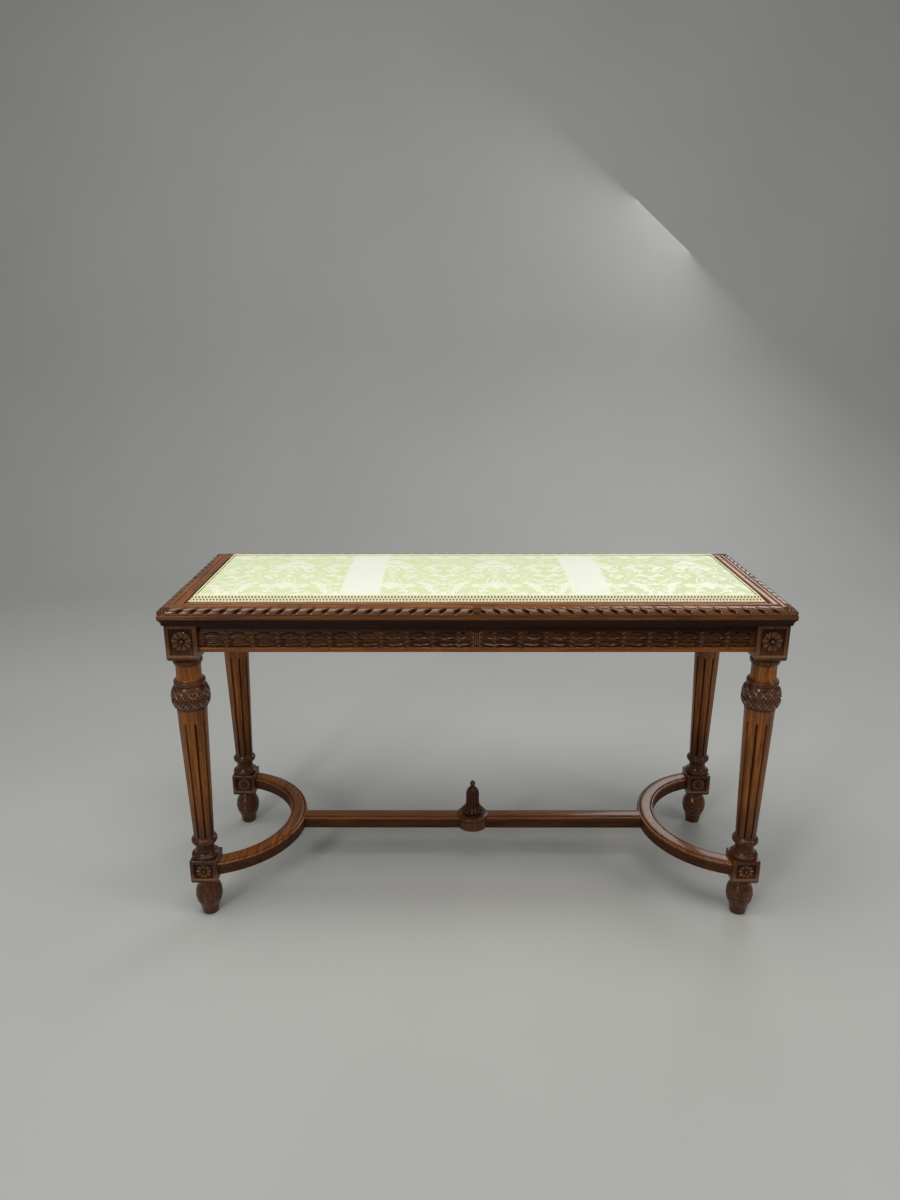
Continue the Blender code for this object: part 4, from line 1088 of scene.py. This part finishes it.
def gadroon(along, up, sizes, half):
    """Height, 0 to 1, of the lid's carved edge: plump leaning lobes parted by cuts that are deep and wide,
    like a drop, low down and run out as a fine line above, a cross-cut tie at the middle of each rail and a
    ribbed leaf on each corner."""
    distance = np.abs(along)
    lean = sizes.lobe_lean * (up - 0.4)
    share = np.abs((distance + lean - LID_TIE) / sizes.lobe_pitch % 1.0 * 2 - 1)
    from_cut = (1 - share) * sizes.lobe_pitch / 2
    drop = np.exp(-(((up - 0.36) / 0.20) ** 2))
    cut = np.exp(-((from_cut / ((0.7 + 2.7 * drop) * MM)) ** 2)) * (0.30 + 0.70 * drop)
    lobe = 1 - cut - 0.22 * share**4
    hatch = 0.72 + 0.28 * np.cos(math.pi * along / (1.7 * MM)) * np.cos(6 * math.pi * up)
    ribs = (half - distance + 0.9 * lean) / (4.4 * MM) % 1.0 * 2 - 1
    fan = 0.15 + 0.85 * (1 - ribs**2)
    tie = 1 - smooth_step(distance, LID_TIE - 1.2 * MM, LID_TIE)
    corner = smooth_step(distance + 0.4 * lean, half - CORNER_LEAF, half - CORNER_LEAF + 1.5 * MM)
    height = lobe.clip(0.0, 1.0)
    height = height * (1 - tie) + hatch * tie
    height = height * (1 - corner) + fan * corner
    edge = smooth_step(up, -0.02, 0.10) * (1 - smooth_step(up, 0.92, 1.02))
    return 1 - (1 - height) * edge


class BENCH_OT_lid_rails(Operator):
    """Four mitred rails of the lid's frame, with a carved gadroon edge and mouldings"""

    bl_idname = "bench.lid_rails"
    bl_label = "Lid rails"

    def execute(self, context):
        sizes = context.scene.bench_carving
        low, high = box_of("lid_rail_front")
        width = high[1] - low[1]
        bottom = low[2]
        board_low, board_high = box_of("seat_board")
        rebate = board_high[2] + 0.3 * MM - bottom
        notch = board_low[0] - low[0] - 0.3 * MM
        steps = [(inset + side * 0.05 * MM, 0.0) for inset in (LEAF_INSET, BARREL_INSET) for side in (1, -1)]
        under = np.array([(width, rebate), (notch, rebate), (notch, 0.0), *steps])
        sections = [RAIL_OUTSIDE, RAIL_LOBES, RAIL_TOP, under]
        section = np.concatenate(sections)
        first, last = len(RAIL_OUTSIDE), len(RAIL_OUTSIDE) + len(RAIL_LOBES)
        slope = np.gradient(RAIL_LOBES, axis=0)
        normal = np.stack([-slope[:, 1], slope[:, 0]], axis=1) / np.hypot(*slope.T)[:, None]
        run = np.concatenate([[0.0], np.cumsum(np.hypot(*np.diff(RAIL_LOBES, axis=0).T))])
        up = run / run[-1]
        halves = {"x": -box_of("lid_rail_front")[0][0], "y": -box_of("lid_rail_front")[0][1]}
        for name, turn in SIDES.items():
            grain, other = ("x", "y") if name in ("front", "back") else ("y", "x")
            half, face = halves[grain], halves[other]
            stations = np.linspace(-half, half, int(2 * half / (1.6 * MM)))
            if name == "back":
                stations = hinge_stations(stations)
            stations = stations[:, None]
            count = len(stations)
            carved = gadroon(stations, up[None, :], sizes, half)
            sunk = sizes.lobe_depth * (1 - carved)
            inset = np.broadcast_to(section[:, 0], (count, len(section))).copy()
            height = np.broadcast_to(section[:, 1], (count, len(section))).copy()
            inset[:, first:last] -= sunk * normal[:, 0]
            height[:, first:last] -= sunk * normal[:, 1]
            room = half - MITRE_RUN
            beyond = (np.abs(stations) - room).clip(0.0)
            along = np.sign(stations) * (np.minimum(np.abs(stations), room)
                                         + beyond * (MITRE_RUN - inset - 0.05 * MM) / MITRE_RUN)
            rings = np.stack([along, inset - face, bottom + height], axis=-1)
            if name == "back":
                lift = np.where(inset < BARREL_INSET, BARREL_DEEP, LEAF_DEEP)
                let_in = in_hinge(stations) & (inset < LEAF_INSET) & (height < LOW_ENOUGH)
                rings[..., 2] = np.where(let_in, np.maximum(rings[..., 2], bottom + lift), rings[..., 2])
            marks = np.zeros((count, len(section)))
            # Painted shade and wax in the gadroon cuts, and a painted highlight on the lobes' crests.
            marks[:, first:last] = 1.35 * (1 - carved) - 0.35 * carved
            marks += self.moulding_marks(section, width)
            tone = self.tone(section)
            part = shell(turned_about(rings, -turn), marks, tone)
            piece(f"carved_rail_{name}", [part], walnut(grain), "lid", (f"lid_rail_{name}",))
        return {"FINISHED"}

    def moulding_marks(self, section, width):
        """Painted shade in the rail's hollows: the cavetto under the band, the top quirks and the rebate."""
        inset, height = section.T
        cove = (height < 10.4 * MM) * (inset < 6 * MM) * 0.85
        top = (inset > TOP_MOULD) * (inset < width - 0.1 * MM) * (height > 20 * MM)
        return np.maximum(cove, 0.95 * top * ((QUIRK_TOP - height) / (1.0 * MM)).clip(0.0, 1.0))

    def tone(self, section):
        """How golden the rail is: pale on the top mouldings, dark on the carving and the band."""
        inset, height = section.T
        top = (inset > TOP_MOULD) * (height > 20 * MM)
        band = (inset < 1.0 * MM) * (height < 16.2 * MM) * (height > 10 * MM)
        # The pale top is partly the paler wood and partly a painted highlight where light from above falls.
        return np.where(top, 0.95, np.where(band, 0.45, 0.30))


# Seat ----------------------------------------------------------------------------------------------


def damask():
    """Cotton and rayon damask: a matt green ground with a glossier cream figure of leaves and flowers,
    mirrored about upright lines, pale stripes, and threads that run both ways."""
    colors = bpy.context.scene.bench_colors
    made, tree, shader = finish("woven_damask", IOR=1.46, Sheen_Weight=0.25, Sheen_Roughness=0.4)
    place = node(tree, "ShaderNodeTexCoord").outputs["Object"]
    apart = node(tree, "ShaderNodeSeparateXYZ", {}, {"Vector": place})
    across = node(tree, "ShaderNodeMath", {"operation": "PINGPONG"}, {
        0: node(tree, "ShaderNodeMath", {"operation": "ADD"},
                {0: apart.outputs["X"], 1: 2.03}).outputs[0], 1: 82.5 * MM,
    }).outputs[0]
    folded = node(tree, "ShaderNodeCombineXYZ", {}, {"X": across, "Y": apart.outputs["Y"]})
    leaves = node(tree, "ShaderNodeTexNoise", {}, {
        "Vector": folded.outputs["Vector"], "Scale": 21.0, "Detail": 2.4, "Roughness": 0.5, "Distortion": 2.2,
    })
    petals = node(tree, "ShaderNodeTexVoronoi", {"feature": "SMOOTH_F1"}, {
        "Vector": folded.outputs["Vector"], "Scale": 24.0, "Smoothness": 0.4,
    })
    # The figure's outlines are a thin band of the noise's values, and its blossoms the cells' middles.
    away = node(tree, "ShaderNodeMath", {"operation": "SUBTRACT"}, {0: leaves.outputs["Fac"], 1: 0.52})
    outlines = node(tree, "ShaderNodeMapRange", {"interpolation_type": "SMOOTHSTEP"}, {
        "Value": node(tree, "ShaderNodeMath", {"operation": "ABSOLUTE"}, {0: away.outputs[0]}).outputs[0],
        "From Min": 0.065, "From Max": 0.03,
    })
    blossom = node(tree, "ShaderNodeMapRange", {"interpolation_type": "SMOOTHSTEP"}, {
        "Value": petals.outputs["Distance"], "From Min": 0.33, "From Max": 0.20,
    })
    figure = node(tree, "ShaderNodeMath", {"operation": "MAXIMUM"}, {
        0: outlines.outputs["Result"], 1: blossom.outputs["Result"],
    }).outputs[0]
    cloth = node(tree, "ShaderNodeMix", {"data_type": "RGBA"}, {
        0: figure, MIX_A: (*colors.damask_ground, 1), MIX_B: (*colors.damask_figure, 1),
    })
    stripe = node(tree, "ShaderNodeMath", {"operation": "PINGPONG"},
                  {0: apart.outputs["X"], 1: 176 * MM}).outputs[0]
    banded = node(tree, "ShaderNodeMapRange", {"interpolation_type": "SMOOTHSTEP"}, {
        "Value": stripe, "From Min": 143 * MM, "From Max": 149 * MM, "To Min": 0.0, "To Max": 0.85,
    }).outputs["Result"]
    striped = node(tree, "ShaderNodeMix", {"data_type": "RGBA"}, {
        0: banded, MIX_A: cloth.outputs[MIX_RESULT], MIX_B: (*colors.damask_stripe, 1),
    })
    # The real threads lie 0.4 mm apart. They are drawn 1.1 mm apart so that the weave shows.
    warp = node(tree, "ShaderNodeTexWave", {"bands_direction": "X"},
                {"Vector": place, "Scale": 1 / (1.1 * MM) / 2 / math.pi})
    weft = node(tree, "ShaderNodeTexWave", {"bands_direction": "Y"},
                {"Vector": place, "Scale": 1 / (1.1 * MM) / 2 / math.pi})
    weave = node(tree, "ShaderNodeMath", {"operation": "MULTIPLY"},
                 {0: warp.outputs["Fac"], 1: weft.outputs["Fac"]}).outputs[0]
    relief = node(tree, "ShaderNodeMath", {"operation": "MULTIPLY_ADD"},
                  {0: figure, 1: 0.8, 2: weave}).outputs[0]
    rough = node(tree, "ShaderNodeMapRange", {}, {"Value": figure, "To Min": 0.78,
                                                  "To Max": 0.52}).outputs["Result"]
    bump = node(tree, "ShaderNodeBump", {}, {"Height": relief, "Strength": 0.35, "Distance": 0.35 * MM})
    shade = node(tree, "ShaderNodeMapRange", {}, {"Value": weave, "To Min": 0.93,
                                                  "To Max": 1.03}).outputs["Result"]
    toned = node(tree, "ShaderNodeHueSaturation", {}, {"Value": shade, "Color": striped.outputs[MIX_RESULT]})
    tree.links.new(toned.outputs["Color"], shader.inputs["Base Color"])
    tree.links.new(rough, shader.inputs["Roughness"])
    tree.links.new(bump.outputs["Normal"], shader.inputs["Normal"])
    return made


def cotton_wadding():
    """Cotton wadding: off-white tangled fibres, dry and soft at every angle."""
    made, tree, shader = finish("cotton_wadding", Roughness=0.95, Sheen_Weight=0.3)
    fluff = node(tree, "ShaderNodeTexNoise", {}, {
        "Vector": stretched(tree, 3 * MM, 3 * MM, "z"), "Scale": 1.0, "Detail": 8.0, "Roughness": 0.7,
    })
    shade = node(tree, "ShaderNodeMapRange", {}, {"Value": fluff.outputs["Fac"], "To Min": 0.82,
                                                  "To Max": 1.08})
    tint = node(tree, "ShaderNodeHueSaturation", {},
                {"Value": shade.outputs["Result"], "Color": hex_color("#e4ddc8")})
    bump = node(tree, "ShaderNodeBump", {}, {"Height": fluff.outputs["Fac"], "Strength": 0.6,
                                             "Distance": 1.0 * MM})
    tree.links.new(tint.outputs["Color"], shader.inputs["Base Color"])
    tree.links.new(bump.outputs["Normal"], shader.inputs["Normal"])
    return made


def braid():
    """Cotton furnishing braid: cream cords either side of a plaited middle with two rows of dark eyes."""
    colors = bpy.context.scene.bench_colors
    made, tree, shader = finish("cotton_braid", Roughness=0.85, Sheen_Weight=0.2)
    hollow = node(tree, "ShaderNodeAttribute", {"attribute_name": "hollow"}).outputs["Fac"]
    fibre = node(tree, "ShaderNodeTexNoise", {}, {
        "Vector": stretched(tree, 1.2 * MM, 1.2 * MM, "z"), "Scale": 1.0, "Detail": 3.0,
    })
    shade = node(tree, "ShaderNodeMapRange", {}, {"Value": fibre.outputs["Fac"], "To Min": 0.88,
                                                  "To Max": 1.08})
    tint = node(tree, "ShaderNodeMix", {"data_type": "RGBA"}, {
        0: hollow, MIX_A: (*colors.braid_cream, 1), MIX_B: (*colors.braid_eye, 1),
    })
    toned = node(tree, "ShaderNodeHueSaturation", {}, {
        "Value": shade.outputs["Result"], "Color": tint.outputs[MIX_RESULT],
    })
    bump = node(tree, "ShaderNodeBump", {}, {"Height": fibre.outputs["Fac"], "Strength": 0.3,
                                             "Distance": 0.4 * MM})
    tree.links.new(toned.outputs["Color"], shader.inputs["Base Color"])
    tree.links.new(bump.outputs["Normal"], shader.inputs["Normal"])
    return made


BRAID_RUN = 8.5 * MM
END_REACH = 105.0 * MM


def pad_height(x, y, half_x, half_y, crown):
    """Height of the pad's surface over its edge: it climbs at 45 degrees under the braid, then swells to
    its crown, and the climb from the nearer pair of sides wins, blended softly at the corners."""
    def climb(room, reach):
        """Height at a distance of room from one pair of sides, full at a distance of reach."""
        first = np.minimum(room, BRAID_RUN)
        share = ((room - BRAID_RUN) / (reach - BRAID_RUN)).clip(0.0, 1.0)
        return first + (crown - BRAID_RUN) * (1 - (1 - share) ** 2.3) + 1e-6

    from_ends, from_sides = climb(half_x - np.abs(x), END_REACH), climb(half_y - np.abs(y), half_y)
    return (from_ends**-8 + from_sides**-8) ** (-1 / 8)


def pad_rings(half_x, half_y, edge, foot, crown, cell):
    """Rings of the pad across its length: each goes over the top and back along the flat underside. The
    points crowd together near the edges, where the climb under the braid starts."""
    columns = int(half_y / cell)
    tuck = np.array([0.0, 0.25, 0.5, 0.75, 1.0]) * BRAID_RUN
    across = np.concatenate([half_y - tuck, np.linspace(half_y - BRAID_RUN, 0.0, columns)[1:]])
    across = np.concatenate([-across, across[-2::-1]])
    rows = int(half_x / cell)
    along = np.concatenate([half_x - tuck, np.linspace(half_x - BRAID_RUN, 0.0, rows)[1:]])
    along = np.concatenate([-along, along[-2::-1]])
    x, y = np.meshgrid(along, across, indexing="ij")
    top = np.stack([x, y, edge + pad_height(x, y, half_x, half_y, crown)], axis=-1)
    under = top[:, ::-1].copy()
    under[..., 2] = foot
    return np.concatenate([top, under], axis=1)


class BENCH_OT_seat(Operator):
    """The seat pad: stuffing under a damask cover that air pressure swells, capped at a few millimetres"""

    bl_idname = "bench.seat"
    bl_label = "Seat pad"

    def execute(self, context):
        sizes = context.scene.bench_seat
        low, high = box_of("seat_cover")
        edge = box_of("lid_rail_front")[1][2] - 2.5 * MM
        crown = high[2] - edge
        rings = pad_rings(high[0], high[1], edge, low[2], crown - sizes.slack, sizes.cell)
        cover = piece("damask_cover", [shell(rings)], damask(), "lid", ("seat_cover",), crisp=70.0)
        self.swell(context, cover, edge, (high[0], high[1]), sizes)
        smooth = cover.modifiers.new("smooth", "SUBSURF")
        smooth.levels = smooth.render_levels = 1
        inset = 2.0 * MM
        core = pad_rings(high[0] - inset, high[1] - inset, edge - inset, low[2] + inset / 4,
                         crown - sizes.slack, 2 * sizes.cell)
        wadding = piece("seat_wadding", [shell(core)], cotton_wadding(), "lid", ("seat_stuffing",),
                        crisp=70.0)
        return {"FINISHED"}

    def swell(self, context, cover, edge, halves, sizes):
        """Runs the cloth under pressure with the edge and the underside held, then moves each point no
        further than the cap towards where the cloth took it."""
        mesh = cover.data
        rest = np.empty(len(mesh.vertices) * 3, np.float32)
        mesh.vertices.foreach_get("co", rest)
        rest = rest.reshape(-1, 3)
        room = np.minimum(halves[0] - np.abs(rest[:, 0]), halves[1] - np.abs(rest[:, 1]))
        hold = 1 - smooth_step(room, BRAID_RUN, 4 * BRAID_RUN)
        hold[rest[:, 2] < edge - 1 * MM] = 1.0
        group = cover.vertex_groups.new(name="held")
        for level in range(11):
            chosen = np.flatnonzero(np.round(hold * 10) == level)
            group.add(chosen.tolist(), level / 10, "REPLACE")
        cloth = cover.modifiers.new("cloth", "CLOTH")
        settings = cloth.settings
        settings.use_pressure = True
        settings.uniform_pressure_force = sizes.pressure
        settings.effector_weights.gravity = 0.0
        settings.vertex_group_mass = group.name
        settings.tension_stiffness = 12.0
        settings.compression_stiffness = 8.0
        settings.bending_stiffness = 0.4
        settings.quality = 6
        for number in range(1, 21):
            context.scene.frame_set(number)
        graph = context.evaluated_depsgraph_get()
        done = cover.evaluated_get(graph).to_mesh()
        moved = np.empty(len(done.vertices) * 3, np.float32)
        done.vertices.foreach_get("co", moved)
        cover.evaluated_get(graph).to_mesh_clear()
        shift = moved.reshape(-1, 3) - rest
        size = np.linalg.norm(shift, axis=1, keepdims=True) + 1e-9
        cover.modifiers.remove(cloth)
        cover.vertex_groups.remove(group)
        final = rest + shift * (sizes.swell * np.tanh(size / sizes.swell) / size)
        mesh.vertices.foreach_set("co", final.astype(np.float32).reshape(-1))
        mesh.update()
        context.scene.frame_set(1)
        print("pad swelled by up to", round(float(size.max()) / MM, 2), "mm before the cap")


# Braid ---------------------------------------------------------------------------------------------

BRAID_THICK = 1.5 * MM


class BENCH_OT_braid(Operator):
    """Braid along the foot of the seat pad, mitred at the corners"""

    bl_idname = "bench.braid"
    bl_label = "Braid"

    def execute(self, context):
        sizes = context.scene.bench_seat
        cotton = braid()
        for name, turn in SIDES.items():
            low, high = box_of(f"gimp_{name}")
            along = 0 if name in ("front", "back") else 1
            half = high[along]
            face = max(abs(low[1 - along]), abs(high[1 - along]))
            eyes = int(round(2 * half / sizes.stitch))
            stations = np.linspace(-half, half, eyes * 6 + 1)[:, None]
            across = np.array([0.0, 0.05, 0.12, 0.2, 0.27, 0.35, 0.43, 0.5, 0.57, 0.65, 0.73, 0.8, 0.88,
                               0.95, 1.0])[None, :]
            phase = (stations + half) / sizes.stitch
            raised, dark = self.pattern(phase, across)
            top = (high[2] - low[2]) * across
            slant = math.sqrt(0.5) * raised
            inset = top - slant
            rise = top + slant
            mitred = np.sign(stations) * np.minimum(np.abs(stations), half - inset - 0.05 * MM)
            upper = np.stack([mitred, inset - face, low[2] + rise], axis=-1)
            under = np.stack([mitred, inset - face + slant + 0.2 * MM, low[2] + rise - slant - 0.2 * MM],
                             axis=-1)[:, ::-1]
            rings = np.concatenate([upper, under], axis=1)
            marks = np.concatenate([dark, 0 * dark], axis=1)
            part = shell(turned_about(rings, -turn), marks)
            piece(f"braid_{name}", [part], cotton, "lid", (f"gimp_{name}",))
        return {"FINISHED"}

    def pattern(self, phase, across):
        """(thickness, darkness) of the braid: a round cord on either edge, a plait between them whose strands
        swing from side to side once a stitch, and two rows of eyes where the strands part."""
        cords = np.maximum(1 - ((across - 0.07) / 0.09) ** 2,
                           1 - ((across - 0.93) / 0.09) ** 2).clip(0.0) ** 0.5
        swing = np.cos(2 * math.pi * (phase - across))
        counter = np.cos(2 * math.pi * (phase + across))
        plait = 0.55 + 0.22 * swing + 0.22 * counter
        eyes = 0.0
        for row, offset in ((0.3, 0.0), (0.7, 0.5)):
            around = (phase + offset) % 1.0 - 0.5
            eyes = np.maximum(eyes, np.exp(-((around / 0.25) ** 2) - ((across - row) / 0.12) ** 2))
        thick = BRAID_THICK * (0.25 + 0.75 * np.maximum(cords, plait * (1 - 0.85 * eyes)))
        return thick, (1.9 * eyes).clip(0.0, 1.0)


# Boards and hinges ---------------------------------------------------------------------------------


def dress(name, material):
    """Gives a CAD node that keeps its shape a better finish."""
    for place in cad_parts[name].material_slots:
        place.link = "OBJECT"
        place.material = material


class BENCH_OT_boards(Operator):
    """Finishes of the boards that nobody sees until the lid is lifted"""

    bl_idname = "bench.boards"
    bl_label = "Boards"

    def execute(self, context):
        plywood = birch_plywood()
        for name in ("bottom_panel", "seat_board"):
            dress(name, plywood)
        for corner in CORNERS:
            dress(f"lid_tongue_{corner}", walnut("x"))
        return {"FINISHED"}


class BENCH_OT_hinges(Operator):
    """Finishes of the hinges, their pins and all the screws"""

    bl_idname = "bench.hinges"
    bl_label = "Hinges"

    def execute(self, context):
        brass = aged_metal("aged_brass", "#b08d4c", "#6e5228", 0.3, 9 * MM)
        steel = aged_metal("zinced_steel", "#a9a9a4", "#6f6a62", 0.34, 4 * MM)
        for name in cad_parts:
            if "screw" in name:
                dress(name, steel)
            elif "hinge" in name:
                dress(name, brass)
        return {"FINISHED"}


class BENCH_PT_panel(Panel):
    """Lists the bench's operators and sizes"""

    bl_idname = "BENCH_PT_panel"
    bl_label = "Piano bench"
    bl_space_type = "VIEW_3D"
    bl_region_type = "UI"
    bl_category = "Piano bench"

    def draw(self, context):
        for operator in OPERATORS:
            self.layout.operator(operator.bl_idname)
        for name, group in GROUPS.items():
            box = self.layout.box()
            for key in group.__annotations__:
                box.prop(getattr(context.scene, name), key)


GROUPS = {
    "bench_turning": BenchTurning, "bench_carving": BenchCarving,
    "bench_seat": BenchSeat, "bench_colors": BenchColors,
}
OPERATORS = (
    BENCH_OT_stage, BENCH_OT_legs, BENCH_OT_aprons, BENCH_OT_stretcher, BENCH_OT_finial, BENCH_OT_lid_rails,
    BENCH_OT_seat, BENCH_OT_braid, BENCH_OT_boards, BENCH_OT_hinges,
)


def register():
    """Registers the classes and hangs the sizes on the scene."""
    for name, group in GROUPS.items():
        bpy.utils.register_class(group)
        setattr(bpy.types.Scene, name, PointerProperty(type=group))
    for kind in (*OPERATORS, BENCH_PT_panel):
        bpy.utils.register_class(kind)


def unregister():
    """Takes away what register added."""
    for kind in (BENCH_PT_panel, *reversed(OPERATORS)):
        bpy.utils.unregister_class(kind)
    for name, group in reversed(GROUPS.items()):
        delattr(bpy.types.Scene, name)
        bpy.utils.unregister_class(group)


def main():
    """Builds every piece in order."""
    register()
    for operator in OPERATORS:
        getattr(bpy.ops.bench, operator.bl_idname.split(".")[1])()


if __name__ == "__main__":
    main()
